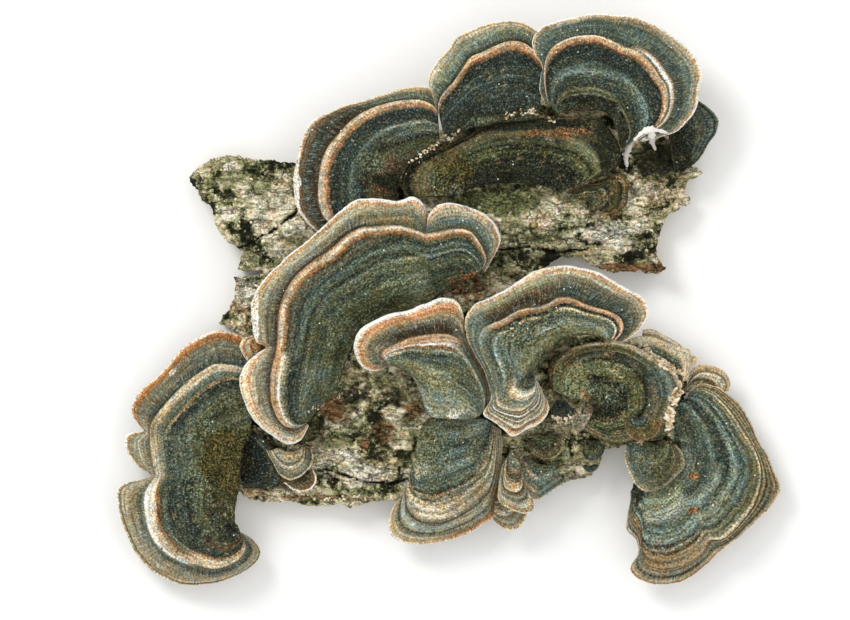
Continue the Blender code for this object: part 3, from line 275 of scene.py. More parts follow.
# Dark spots: partly dark bark, partly painted shade where bracket margins and feet meet the bark
BARK_DARK_AND_SHADE = [
    (-31.0, -32.4, 6, 4, 1.1), (-19.0, -32.4, 5, 4, 1.1), (-46.3, -42.0, 6, 6, 1.1),
    (-21.8, -49.3, 3, 2.5, 0.9), (32.0, 15.0, 17, 1.6, 0.9), (62.0, 14.0, 12, 1.4, 0.6),
    (18.0, 37.5, 14, 2, 1.0), (35.0, -27.0, 4, 3, 1.0), (71.0, 47.0, 11, 7, 1.2),
    (46.0, -49.0, 3, 3, 0.6), (-62.0, -52.0, 8, 9, 1.2), (-84.0, 39.0, 3, 4, 0.7), (8.0, 12.0, 6, 3, 0.8),
]


def ease(value):
    """Smooth step from 0 to 1, for numbers or arrays."""
    value = np.clip(value, 0.0, 1.0)
    return value * value * (3.0 - 2.0 * value)


def rough(points, size_x, size_y, seed, octaves=4):
    """Fractal noise, about -1 to 1, at points in millimetres seen from above."""
    return np.array([
        noise.fractal(Vector((x / size_x, y / size_y, seed)), 1.0, 2.0, octaves) for x, y in points
    ])


def shaken(points, size, seed, octaves):
    """A wandering shift for each point."""
    return np.column_stack([rough(points, size, size, start, octaves) for start in (seed, seed + 4.0)])


def segment_distance(points, start, end):
    """Distance of each point to one straight stretch."""
    along = np.subtract(end, start)
    share = np.clip((points - start) @ along / (along @ along), 0.0, 1.0)
    return np.linalg.norm(points - start - share[:, None] * along, axis=1)


def loop_distance(points, loop):
    """Distance of each point to a closed outline."""
    ends = list(zip(loop, np.roll(loop, -1, axis=0)))
    return np.min([segment_distance(points, start, end) for start, end in ends], axis=0)


def in_loop(points, loop):
    """Whether each point lies inside a closed outline."""
    x, y = points[:, 0], points[:, 1]
    odd = np.zeros(len(points), bool)
    for (ax, ay), (bx, by) in zip(loop, np.roll(loop, -1, axis=0)):
        spans = (ay > y) != (by > y)
        rise = by - ay if by != ay else 1.0
        odd ^= spans & (x < ax + (y - ay) * (bx - ax) / rise)
    return odd


def patchy(points, patches, ragged):
    """Strength of a growth at each point: soft spots with a ragged edge."""
    total = np.zeros(len(points))
    for x, y, half_x, half_y, strength in patches:
        reach = np.hypot((points[:, 0] - x) / half_x, (points[:, 1] - y) / half_y)
        total = np.maximum(total, strength * ease(1.5 - reach + 0.5 * ragged))
    return total


def broken_outline(loop, step, wander):
    """The outline in short steps, each moved in or out by the noise of a torn edge."""
    fine = []
    for start, end in zip(loop, np.roll(loop, -1, axis=0)):
        count = max(1, round(np.linalg.norm(end - start) / step))
        fine += [start + (end - start) * share / count for share in range(count)]
    fine = np.array(fine)
    along = np.roll(fine, -1, axis=0) - np.roll(fine, 1, axis=0)
    along /= np.linalg.norm(along, axis=1)[:, None]
    inward = np.column_stack((along[:, 1], -along[:, 0]))
    jag = wander * rough(fine, 2.4, 2.4, 3.1, 4) + 0.7 * wander * rough(fine, 0.9, 0.9, 9.7, 3)
    return fine + inward * (jag - 0.25 * wander)[:, None], inward


def bark_surface(points, loop):
    """Height of the bark, how deep in a crack each point is, and the tone of the plate it lies on."""
    x, y = points[:, 0], points[:, 1]
    dome = 1.0 - BARK_FALL_OFF * ((x / BARK_ROUND_X) ** 2 + (y / BARK_ROUND_Y) ** 2)
    swell = 0.55 * np.sin(0.52 * y + 0.06 * x) + 0.45 * np.sin(0.23 * x - 0.31 * y + 1.7)
    swell += 0.5 * np.sin(0.19 * x + 0.4) * np.cos(0.27 * y)
    edge = loop_distance(points, loop)
    broken = BARK_EDGE_DROP + 1.5 * np.sin(0.37 * x + 0.29 * y)
    height = BARK_EDGE + (BARK_MIDDLE - BARK_EDGE) * dome + swell
    height -= (1.0 - ease(edge / BARK_EDGE_BAND)) * broken
    plates = rough(points, 7.0, 3.0, 1.3, 5)
    fibres = rough(points, 5.0, 0.9, 4.9, 4)
    crumb = rough(points, 1.3, 1.1, 7.7, 3)
    bent = points + 1.4 * shaken(points, 6.0, 41.0, 3)
    cells = [noise.voronoi(Vector((u / PLATE_WIDE, v / PLATE_TALL, 2.0))) for u, v in bent]
    gap = np.array([away[1] - away[0] for away, _ in cells])
    tone = np.array([noise.cell(middles[0] * 5.3) for _, middles in cells])
    furrow = np.abs(rough(points, 9.0, 2.6, 11.3, 3))
    depth = ease(1.0 - furrow / FURROW_WIDTH) * FURROW_DEPTH
    dry = ease(0.5 + 1.5 * rough(points, 14.0, 9.0, 51.0, 3))
    depth = np.maximum(depth, PLATE_GAP_DEPTH * ease(1.0 - gap / PLATE_GAP) * dry)
    wobble = points + 0.7 * shaken(points, 3.0, 21.0, 2)
    for crack in BARK_CRACKS:
        width, deep = crack[-2:]
        path = np.array(crack[:-2])
        near = np.min([segment_distance(wobble, a, b) for a, b in zip(path, path[1:])], axis=0)
        depth = np.maximum(depth, deep * np.exp(-(near / width) ** 2))
    height += 0.75 * plates + 0.28 * fibres + 0.16 * crumb - 0.8 * depth + 0.5 * (tone - 0.5)
    height -= BREAK_DROP * (1.0 - ease(edge / BREAK_BAND)) * (0.6 + 0.4 * crumb)
    return height, depth, tone


def spread(value, low, high, to_low=0.0, to_high=1.0):
    """How far a value has come from low to high, kept between them and put on another scale."""
    links = {"Value": value, "From Min": low, "From Max": high, "To Min": to_low, "To Max": to_high}
    return add_node(value.id_data, "ShaderNodeMapRange", links).outputs["Result"]


def tinted(value, low, high, dark, light):
    """The same for the three channels of a colour, from a dark tint to a light one."""
    links = {6: value, 7: (low,) * 3, 8: (high,) * 3, 9: dark, 10: light}
    return add_node(value.id_data, "ShaderNodeMapRange", links, data_type="FLOAT_VECTOR").outputs[1]


def calc(first, second, operation="MULTIPLY", third=0.0):
    """Arithmetic with two or three values, one of them at least from a node."""
    tree = next(value for value in (first, second, third) if is_output(value)).id_data
    return add_node(tree, "ShaderNodeMath", {0: first, 1: second, 2: third}, operation=operation).outputs[0]


def ramp(value, written, whole=100.0):
    """Colours along a value. The stops are written as a percentage and a tone each."""
    node = add_node(value.id_data, "ShaderNodeValToRGB", {"Fac": value})
    elements = node.color_ramp.elements
    words = written.split()
    while 2 * len(elements) < len(words):
        elements.new(0.5)
    for element, percent, tone in zip(elements, words[::2], words[1::2]):
        element.position = float(percent) / whole
        element.color = linear(tone)
    return node.outputs["Color"]


def painted(tree, name):
    """A weight that the mesh carries from point to point."""
    return add_node(tree, "ShaderNodeAttribute", attribute_name=name).outputs["Fac"]


def coat(shader, colour, relief, strength, distance):
    """Give a shader its colour and its fine relief."""
    tree = shader.id_data
    tree.links.new(colour, shader.inputs["Base Color"])
    bump = add_node(tree, "ShaderNodeBump", {"Height": relief, "Strength": strength, "Distance": distance})
    tree.links.new(bump.outputs["Normal"], shader.inputs["Normal"])


def weathered_bark():
    """Weathered bark: corky plates bleached grey, cracks painted near black as the shade in them, crusts of
    lichen, moss and rusty breaks, and dark patches that are partly painted shade beside the brackets.
    """
    material, shader, place = new_material("weathered_bark", 0.93)
    tree = material.node_tree
    stretched = add_node(tree, "ShaderNodeMapping", {"Vector": place, "Scale": (0.3, 1.0, 1.0)}).outputs[0]
    fibre = grain(stretched, 900.0, 6.0, 0.7)
    blotch = grain(place, 120.0, 9.0, 0.66)
    grit = grain(place, 1150.0, 4.0, 0.8)
    hues = grain(place, 700.0, 4.0, 0.8, "Color")
    lines = grain(stretched, 330.0, 4.0, 0.6)
    crust = add_node(tree, "ShaderNodeTexVoronoi", {"Vector": place, "Scale": 850.0})
    crumb = add_node(tree, "ShaderNodeSeparateColor", {"Color": crust.outputs["Color"]}).outputs[0]
    mixed = calc(calc(blotch, 0.85), calc(calc(grit, 0.15), calc(crumb, 0.05), "ADD"), "ADD")
    mixed = calc(calc(painted(tree, "plate"), 0.5, "SUBTRACT"), 0.09, "MULTIPLY_ADD", mixed)
    colour = ramp(mixed, "37 #25261a 41 #5c5f3f 44.5 #93936b 48 #bfb88f 53 #d9cda8 60 #f4e9cf")
    # White crusts of lichen, finest where the bark is dry
    lichen = spread(grain(place, 480.0, 5.0, 0.75), 0.55, 0.6, 0.0, 0.55)
    colour = over(calc(lichen, spread(mixed, 0.42, 0.48)), colour, "#f8f2e4")
    # Patches of moss, rust, tan, pale and dark; the dark weight is partly painted shade beside the brackets'
    # margins and feet
    for name, deep, light, texture in (
        ("moss", "#363d22", "#8f9565", grit), ("rust", "#4d3520", "#a9845d", fibre),
        ("tan", "#a68257", "#f4dbb1", grit), ("pale", "#b1ab8f", "#fbf6e8", grit),
        ("dark", "#14150e", "#4b4a2d", fibre),
    ):
        where = calc(painted(tree, name), 0.36, "MULTIPLY_ADD", calc(mixed, 0.9))
        colour = over(spread(where, 0.66, 0.86), colour, over(spread(texture, 0.36, 0.62), deep, light))
    colour = over(1.0, colour, tinted(hues, 0.35, 0.65, (0.92,) * 3, (1.08,) * 3), "MULTIPLY")
    flush = grain(place, 260.0, 6.0, 0.7)
    colour = over(spread(flush, 0.52, 0.62, 0.0, 0.6), colour, over(1.0, colour, "#f2d4a8", "MULTIPLY"))
    colour = over(spread(flush, 0.48, 0.4, 0.0, 0.6), colour, over(1.0, colour, "#a9b57f", "MULTIPLY"))
    shade = calc(spread(grit, 0.38, 0.62, 0.72, 1.34), spread(fibre, 0.35, 0.65, 0.84, 1.22))
    split = calc(calc(lines, 0.5, "SUBTRACT"), 0.0, "ABSOLUTE")
    shade = calc(shade, spread(split, 0.0, 0.014, 0.7, 1.15))
    colour = over(1.0, colour, shade, "MULTIPLY")
    warp = grain(place, 150.0, 3.0, 0.6, "Color")
    links = {0: warp, 1: (0.009,) * 3, 2: place}
    moved = add_node(tree, "ShaderNodeVectorMath", links, operation="MULTIPLY_ADD").outputs[0]
    # Cracks and gaps between plates, sunk in the relief and painted near black: painted shade in their depths
    crack_depth_and_shade = spread(painted(tree, "crack"), 0.35, 1.2)
    for size, width, depth in (((0.011, 0.006, 0.02), 0.04, 0.95), ((0.0042, 0.0027, 0.01), 0.05, 0.5)):
        scale = [1.0 / length for length in size]
        cells = add_node(tree, "ShaderNodeMapping", {"Vector": moved, "Scale": scale}).outputs[0]
        links = {"Vector": cells, "Scale": 1.0}
        edge = add_node(tree, "ShaderNodeTexVoronoi", links, feature="DISTANCE_TO_EDGE")
        line = spread(edge.outputs["Distance"], 0.0, width, depth, 0.0)
        crack_depth_and_shade = calc(crack_depth_and_shade, calc(line, spread(lines, 0.44, 0.54)), "MAXIMUM")
    relief = calc(calc(calc(fibre, grit, "ADD"), spread(split, 0.0, 0.03), "ADD"), crack_depth_and_shade, "SUBTRACT")
    coat(shader, over(crack_depth_and_shade, colour, "#1a1810"), relief, 1.0, 0.0007)
    shader.inputs["Specular IOR Level"].default_value = 0.15
    return material


def build_bark():
    """The slab as one closed skin: rough top, torn sides with their layers, and the smoother underside."""
    loop = np.array(BARK_OUTLINE)
    rim, inward = broken_outline(loop, BARK_STEP, BREAK_WANDER)
    low, high = rim.min(axis=0), rim.max(axis=0)
    columns, rows = np.meshgrid(
        np.arange(low[0], high[0], BARK_STEP), np.arange(low[1], high[1], BARK_STEP * 0.87), indexing="ij"
    )
    grid = np.column_stack((columns.ravel(), rows.ravel()))
    grid[:, 0] += np.where(np.arange(len(grid)) % columns.shape[1] % 2 == 1, BARK_STEP / 2, 0.0)
    grid += 0.16 * np.sin(grid[:, ::-1] * 37.0)
    grid = grid[in_loop(grid, rim)]
    grid = grid[loop_distance(grid, rim) > 0.5 * BARK_STEP]
    plan = np.vstack((rim, grid))
    count = len(rim)
    sides = [(i, (i + 1) % count) for i in range(count)]
    flat = delaunay_2d_cdt([Vector(point) for point in plan], sides, [], 1, 1e-6)
    plan = np.array([tuple(point) for point in flat[0]])
    height, crack, tone = bark_surface(plan, rim)
    points = [np.column_stack((plan, height))]
    faces = [tuple(face) for face in flat[2]]
    top_count = len(plan)
    start = list(range(count))
    for row in range(1, BARK_SIDE_ROWS + 1):
        share = row / BARK_SIDE_ROWS
        z = height[:count] * (1.0 - share)
        layers = np.array([
            noise.fractal(Vector((x / 6.0, y / 6.0, level * 1.4)), 1.0, 2.0, 4)
            for (x, y), level in zip(rim, z)
        ])
        inset = BARK_UNDERCUT * share + 0.7 * np.maximum(layers, -0.4) * math.sin(math.pi * share)
        ring = rim + inward * inset[:, None]
        points.append(np.column_stack((ring, z)))
        ids = list(range(top_count + (row - 1) * count, top_count + row * count))
        for here in range(count):
            there = (here + 1) % count
            faces.append((start[here], start[there], ids[there], ids[here]))
        start = ids
    under = points[-1][:, :2]
    sparse = grid[::9]
    sparse = sparse[in_loop(sparse, under)]
    sparse = sparse[loop_distance(sparse, under) > 1.2]
    base = delaunay_2d_cdt([Vector(point) for point in np.vstack((under, sparse))], sides, [], 1, 1e-6)
    inner_start = top_count + BARK_SIDE_ROWS * count
    inner = np.array([tuple(point) for point in base[0][count:]])
    hollow = UNDERSIDE_RELIEF * np.maximum(rough(inner, 12.0, 3.0, 31.0, 3), 0.0)
    points.append(np.column_stack((inner, hollow)))
    renumber = list(start) + list(range(inner_start, inner_start + len(inner)))
    faces += [tuple(renumber[index] for index in reversed(face)) for face in base[2]]
    points = np.vstack(points)
    mesh = bpy.data.meshes.new("bark")
    mesh.from_pydata((points * MM).tolist(), [], faces)
    flat_points = points[:, :2]
    ragged = rough(flat_points, 3.0, 2.4, 17.0, 4)
    side = np.zeros(len(points))
    side[top_count:] = 1.0
    shown = (np.arange(len(points)) < inner_start) * (1.0 - 0.5 * side)
    below = len(points) - top_count
    knobs = patchy(flat_points, BARK_KNOBS, ragged) * (1.0 - side)
    litter = (1.0 - side) * ease(0.5 + rough(flat_points, 9.0, 6.0, 61.0, 4)) + 1.4 * knobs
    layers = {
        "crack": np.concatenate((crack, np.zeros(below))), "knobs": knobs, "litter": litter,
        "plate": np.concatenate((tone, np.full(below, 0.4))),
    }
    for name, patches, broken in (
        ("pale", BARK_PALE, 0.0), ("moss", BARK_MOSS, 0.0), ("tan", BARK_TAN, 0.0),
        ("rust", BARK_RUST, 0.75), ("dark", BARK_DARK_AND_SHADE, 0.35),
    ):
        layers[name] = np.maximum(shown * patchy(flat_points, patches, ragged), broken * side)
    for name, values in layers.items():
        mesh.attributes.new(name, "FLOAT", "POINT").data.foreach_set("value", values.astype(np.float32))
    mesh.shade_smooth()
    mesh.materials.append(weathered_bark())
    piece = add_object("bark", mesh)
    return piece


bark = build_bark()
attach(bark, "root")
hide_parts("bark_slab")


def bark_dust():
    """Bark crumbs: flakes of cork and bast, from dark humus to bleached cream, dull and dry."""
    material, shader, place = new_material("loose_bark_crumbs", 0.93)
    tree = material.node_tree
    tone = grain(place, 330.0, 6.0, 0.75)
    lift = calc(painted(tree, "pale"), 0.06, "MULTIPLY_ADD", tone)
    # Crumbs are darker where the bark's dark weight lies, which is partly painted shade beside the brackets
    lift = calc(painted(tree, "dark"), -0.13, "MULTIPLY_ADD", lift)
    colour = ramp(lift, "36 #1d1a11 43 #54482c 48 #77764f 54 #a39d74 60 #cfbd97 66 #f0e2c6")
    coat(shader, colour, tone, 0.8, 0.0004)
    return material


def new_group(name, **settings):
    """An empty geometry node group with its settings, and their outputs inside it."""
    tree = bpy.data.node_groups.new(name, "GeometryNodeTree")
    tree.interface.new_socket("Geometry", in_out="OUTPUT", socket_type="NodeSocketGeometry")
    for label, kind in {"Geometry": "Geometry", **settings}.items():
        tree.interface.new_socket(label, in_out="INPUT", socket_type="NodeSocket" + kind)
    return tree, add_node(tree, "NodeGroupInput").outputs


def random_vector(seed, low, high):
    """A random vector for each point."""
    links = {0: low, 1: high, "Seed": seed}
    return add_node(seed.id_data, "FunctionNodeRandomValue", links, data_type="FLOAT_VECTOR").outputs[0]


def random_value(seed, low, high):
    """A random number for each point."""
    links = {2: low, 3: high, "Seed": seed}
    return add_node(seed.id_data, "FunctionNodeRandomValue", links, data_type="FLOAT").outputs[1]


def given_weight(tree, name, kind="FLOAT"):
    """A weight that the mesh carries, read inside a geometry group."""
    links = {"Name": name}
    return add_node(tree, "GeometryNodeInputNamedAttribute", links, data_type=kind).outputs["Attribute"]


def strewn(points, shape, turn, scale):
    """A copy of a shape on each point."""
    links = {"Points": points, "Instance": shape, "Rotation": turn, "Scale": scale}
    return add_node(points.id_data, "GeometryNodeInstanceOnPoints", links).outputs[0]


def in_material(geometry, material, **links):
    """Geometry in a material."""
    links = {"Geometry": geometry, "Material": material, **links}
    return add_node(geometry.id_data, "GeometryNodeSetMaterial", links).outputs[0]


def realized(geometry):
    """Copies turned into plain mesh."""
    return add_node(geometry.id_data, "GeometryNodeRealizeInstances", {"Geometry": geometry}).outputs[0]


def grow(piece, tree, **settings):
    """Run a geometry group on a piece and keep what it makes as the piece's plain mesh."""
    growth = piece.modifiers.new("growth", "NODES")
    growth.node_group = tree
    for socket in tree.interface.items_tree:
        if socket.name in settings:
            growth[socket.identifier] = settings[socket.name]
    graph = bpy.context.evaluated_depsgraph_get()
    plain = bpy.data.meshes.new_from_object(piece.evaluated_get(graph))
    raw = piece.data
    piece.modifiers.clear()
    piece.data = plain
    bpy.data.meshes.remove(raw)


def litter_tree():
    """Loose crumbs on the bark: small angular grains of mixed size, larger where the bark is rotten."""
    tree, given = new_group(
        "bark_litter", grain_size="Float", grain_density="Float", seed="Int", cork="Material",
    )
    density = calc(given_weight(tree, "litter"), given["grain_density"])
    links = {"Mesh": given["Geometry"], "Density": density, "Seed": given["seed"]}
    spots = add_node(tree, "GeometryNodeDistributePointsOnFaces", links).outputs["Points"]
    flake = add_node(tree, "GeometryNodeMeshIcoSphere", {"Radius": given["grain_size"], "Subdivisions": 1})
    chance = random_value(given["seed"], 0.0, 1.0)
    size = calc(calc(calc(chance, 4.0, "POWER"), 1.6), 0.45, "ADD")
    size = calc(size, calc(calc(given_weight(tree, "knobs"), 0.9), 1.0, "ADD"))
    shape = random_vector(given["seed"], (0.7, 0.6, 0.4), (1.5, 1.1, 0.8))
    scale = add_node(tree, "ShaderNodeVectorMath", {0: shape, "Scale": size}, operation="SCALE").outputs[0]
    turn = random_vector(given["seed"], (-0.5, -0.5, 0.0), (0.5, 0.5, math.tau))
    grains = realized(strewn(spots, flake.outputs[0], turn, scale))
    add_node(tree, "NodeGroupOutput", {"Geometry": in_material(grains, given["cork"])})
    return tree


bark_litter = add_object("bark_litter", bark.data.copy())
grow(bark_litter, litter_tree(), grain_size=0.00045, grain_density=2.9e5, seed=5, cork=bark_dust())
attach(bark_litter, "root")


# Brackets at the back. Each bracket is a thin leathery shelf of matted threads, with a velvet of short hairs
# on top and a pale layer of pores below. It grew outwards ring by ring from its foot on the bark. These were
# overgrown by their neighbours: only their margins show.
BRACKET_STEP = 0.6
WIDE_ROWS = (0.0, 0.33, 0.67, 0.98, 1.14, 1.55, 2.0)
SMALL_ROWS = (0.0, 0.5, 0.97, 1.2, 2.0)
NEAR_MARGIN = (1.9, 1.93, 1.955, 1.975, 1.99, 2.0)
NEAR_END = np.array([0.1, 0.25, 0.5, 0.8])
EDGE_ROUND = 0.8
BELLY_ROUND = 2.4
EDGE_THICK = 1.6
THINNEST = 0.6
MARGIN_THICK = 0.55
LOBE_DEPTH = 0.34
LOBE_WIDTH = 4.5
TOOTH_DEPTH = 0.16
TOOTH_WIDTH = 0.9
WAVES = ((0.2, 9.0), (0.1, 3.2))
FOOT_ROWS = 8
FOOT_BULGE = 0.8

TONES.update(
    ink="#15160f", umber="#3c2f1e", umber_light="#614d36", bark_brown="#735f42", rust="#96673c",
    orange="#b38059", apricot="#cca383", tan="#b19672", cream="#e8d3b7", white="#fff9f0", pinkish="#c9b498",
    taupe="#8f8570", taupe_light="#aea48c", taupe_dark="#686151", grey_brown="#756f5c", bog="#423f24",
    bronze="#655d36", algae="#5a5f3d", algae_light="#8f9071", olive="#5b5d43", olive_dark="#383a27",
    olive_light="#828164", moss="#5d6346", sage="#7f866f", slate="#555d52", slate_dark="#3b433b",
    teal="#2c332d", teal_deep="#1e241f", blue="#5f6b63", blue_light="#8e978b", steel="#546159",
    sky="#7d8a81", grey_green="#6a7061", grey_light="#9f9f8f", black="#11120d",
)

# Patches on a bracket, and the dark and the light tone of each kind. Some pale patches are painted highlights
# on lit rims, and some dark ones are painted shade where brackets meet.
PATCH_TONES = {
    "pale": ("pinkish", "white"), "rust": ("umber", "orange"), "green": ("olive_dark", "sage"),
    "dark": ("black", "olive_dark"), "brown": ("ink", "bronze"), "algae": ("algae", "algae_light"),
}


def curve_through(knots, values, places, level):
    """A cubic through the values at the knots, by their first axis. A level one never overshoots them."""
    gap = np.diff(knots)[:, None]
    slope = np.diff(values, axis=0) / gap
    before, after = slope[:-1], slope[1:]
    tangent = np.vstack((slope[:1], (gap[1:] * before + gap[:-1] * after) / (gap[1:] + gap[:-1]), slope[-1:]))
    if level:
        bound = 2.0 * np.minimum(np.abs(before), np.abs(after)) * (before * after > 0)
        tangent[1:-1] = np.clip(tangent[1:-1], -bound, bound)
    cell = np.clip(np.searchsorted(knots, places, side="right") - 1, 0, len(gap) - 1)
    t = ((places - knots[cell]) / gap[cell, 0])[:, None]
    return (
        (2 * t ** 3 - 3 * t ** 2 + 1) * values[cell] + (t ** 3 - 2 * t ** 2 + t) * gap[cell] * tangent[cell]
        + (3 * t ** 2 - 2 * t ** 3) * values[cell + 1] + (t ** 3 - t ** 2) * gap[cell] * tangent[cell + 1]
    )


def fan_plan(rays, rows):
    """Where the rows of a fan lie from above: row 0 is its base, 1 its ridge and 2 its margin."""
    rows = np.asarray(rows)[None, :, None]
    base, ridge, margin = rays[:, 0:1], rays[:, 1:2], rays[:, 2:3]
    return base + (ridge - base) * np.clip(rows, 0.0, 1.0) + (margin - ridge) * np.clip(rows - 1.0, 0.0, 1.0)


def packed_heights(node, plan):
    """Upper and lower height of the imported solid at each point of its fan, in millimetres."""
    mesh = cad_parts[node].data
    points = np.empty(len(mesh.vertices) * 3)
    mesh.vertices.foreach_get("co", points)
    points = points.reshape(-1, 3) / MM
    top, low = np.empty(plan.shape[:2]), np.empty(plan.shape[:2])
    for place in np.ndindex(*plan.shape[:2]):
        away = np.hypot(points[:, 0] - plan[place][0], points[:, 1] - plan[place][1])
        heights = points[away < away.min() + 0.05, 2]
        top[place], low[place] = heights.max(), heights.min()
    return top, low


def grow_bracket(node, rows, rays, fuzz, patches, tuck):
    """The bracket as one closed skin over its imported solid: thin ragged margin, rounded ends, deep foot."""
    rays = np.array(rays, float).reshape(-1, 3, 2)
    top, low = packed_heights(node, fan_plan(rays, rows))
    steps = np.linalg.norm(np.diff(rays[:, 1:], axis=0), axis=2).mean(axis=1)
    knots = np.concatenate(([0.0], np.cumsum(np.maximum(steps, 0.3))))
    length = knots[-1]
    middle = np.linspace(0.0, length, int(length / BRACKET_STEP) + 2)
    middle = middle[(middle > NEAR_END[-1] + 0.2) & (middle < length - NEAR_END[-1] - 0.2)]
    across = np.concatenate(([0.0], NEAR_END, middle, length - NEAR_END[::-1], [length]))
    bands = np.linalg.norm(np.diff(rays, axis=1), axis=2).max(axis=0)
    spans = np.linalg.norm(np.diff(rays, axis=1), axis=2).mean(axis=0)
    growth = np.concatenate((
        np.linspace(0.0, 1.0, int(bands[0] / BRACKET_STEP) + 3)[:-1],
        np.linspace(1.0, NEAR_MARGIN[0], int(0.9 * bands[1] / BRACKET_STEP) + 3)[:-1], NEAR_MARGIN,
    ))
    fine = curve_through(knots, rays.reshape(len(rays), 6), across, False).reshape(-1, 3, 2)
    back = fine[:, 0] - fine[:, 1]
    back /= np.maximum(np.linalg.norm(back, axis=1), 0.2)[:, None]
    fine[:, 0] += tuck * back
    plan = fan_plan(fine, growth)
    heights = []
    for coarse in (top, low):
        along = curve_through(np.asarray(rows), coarse.T, growth, True).T
        heights.append(curve_through(knots, along, across, True))
    top, low = heights
    low = np.minimum(low, top - THINNEST)
    wide, tall = plan.shape[:2]
    outer = fine[:, 2] - fine[:, 1]
    outer_length = np.maximum(np.linalg.norm(outer, axis=1), 0.2)
    seed = sum(map(ord, node)) * 0.37
    ragged = np.array([
        LOBE_DEPTH * noise.fractal(Vector((u / LOBE_WIDTH, seed, 0.0)), 1.0, 2.0, 2)
        + TOOTH_DEPTH * noise.fractal(Vector((u / TOOTH_WIDTH, seed, 5.0)), 1.0, 2.0, 2) for u in across
    ])
    push = np.minimum(ragged, 0.3 * outer_length) / outer_length
    reach_out = np.clip(growth - 1.0, 0.0, 1.0) ** 2
    plan = plan + (outer * push[:, None])[:, None, :] * reach_out[None, :, None]
    margin_away = outer_length[:, None] * np.where(growth > 1.0, 2.0 - growth, 9.0)[None, :]
    end_away = np.minimum(across, length - across)[:, None]
    away = np.minimum(margin_away, end_away)
    spots = plan.reshape(-1, 2)
    waves = sum(height * rough(spots, size, size, seed, 2) for height, size in WAVES)
    waves = waves.reshape(wide, tall) * ease(growth / 0.4)
    thick = top - low
    rounded = np.minimum(thick, EDGE_THICK) / 2
    edge = np.sqrt(1.0 - (1.0 - np.clip(away / EDGE_ROUND, 0.0, 1.0)) ** 2)
    belly = np.sqrt(1.0 - (1.0 - np.clip(away / BELLY_ROUND, 0.0, 1.0)) ** 2)
    lower = low + (thick - rounded) * (1.0 - belly)
    upper = top - rounded * (1.0 - edge)
    thin = MARGIN_THICK + 0.35 * margin_away + 8.0 * (margin_away / 6.0) ** 3
    lower = np.where(away < 0.01, upper, np.maximum(lower, upper - thin))
    upper, lower = upper + waves, lower + waves
    ids = np.arange(wide * tall).reshape(wide, tall)
    under_ids = ids.copy()
    under_ids[1:-1, :-1] = wide * tall + np.arange((wide - 2) * (tall - 1)).reshape(wide - 2, tall - 1)
    share = np.arange(1, FOOT_ROWS)[None, :, None] / FOOT_ROWS
    head, heel = np.dstack((plan, upper))[1:-1, None, 0], np.dstack((plan, lower))[1:-1, None, 0]
    foot = head + (heel - head) * share
    lumps = np.array([noise.fractal(Vector(point) / 2.6, 1.0, 2.0, 3) for point in foot.reshape(-1, 3)])
    bulge = FOOT_BULGE * lumps.reshape(foot.shape[:2]) * np.sin(np.pi * share[..., 0])
    foot[..., :2] += back[1:-1, None, :] * bulge[..., None]
    points = np.vstack((
        np.dstack((plan, upper)).reshape(-1, 3), np.dstack((plan, lower))[1:-1, :-1].reshape(-1, 3),
        foot.reshape(-1, 3),
    ))
    foot_ids = np.repeat(ids[:, :1], FOOT_ROWS + 1, axis=1)
    foot_ids[:, -1] = under_ids[:, 0]
    foot_start = wide * tall + (wide - 2) * (tall - 1)
    foot_rows = np.arange((wide - 2) * (FOOT_ROWS - 1)).reshape(wide - 2, FOOT_ROWS - 1)
    foot_ids[1:-1, 1:-1] = foot_start + foot_rows
    du = plan[1:, :-1] - plan[:-1, :-1]
    dv = plan[:-1, 1:] - plan[:-1, :-1]
    turn = 1 if (du[..., 0] * dv[..., 1] - du[..., 1] * dv[..., 0]).sum() > 0 else -1

    def quads(numbers, way):
        corners = (numbers[:-1, :-1], numbers[1:, :-1], numbers[1:, 1:], numbers[:-1, 1:])
        return np.dstack([corner.ravel() for corner in corners])[0][:, ::way]

    faces = quads(ids, turn).tolist()
    upper_faces = len(faces)
    faces += quads(under_ids, -turn).tolist()
    for face in quads(foot_ids, -turn).tolist():
        face = list(dict.fromkeys(face))
        if len(face) > 2:
            faces.append(face)
    mesh = bpy.data.meshes.new(node + "_grown")
    mesh.from_pydata((points * MM).tolist(), [], faces)
    mesh.shade_smooth()

    def both(values):
        grid = np.broadcast_to(values, (wide, tall))
        parts = (grid.ravel(), grid[1:-1, :-1].ravel(), np.repeat(grid[1:-1, 0], FOOT_ROWS - 1))
        return np.concatenate(parts).astype(np.float32)

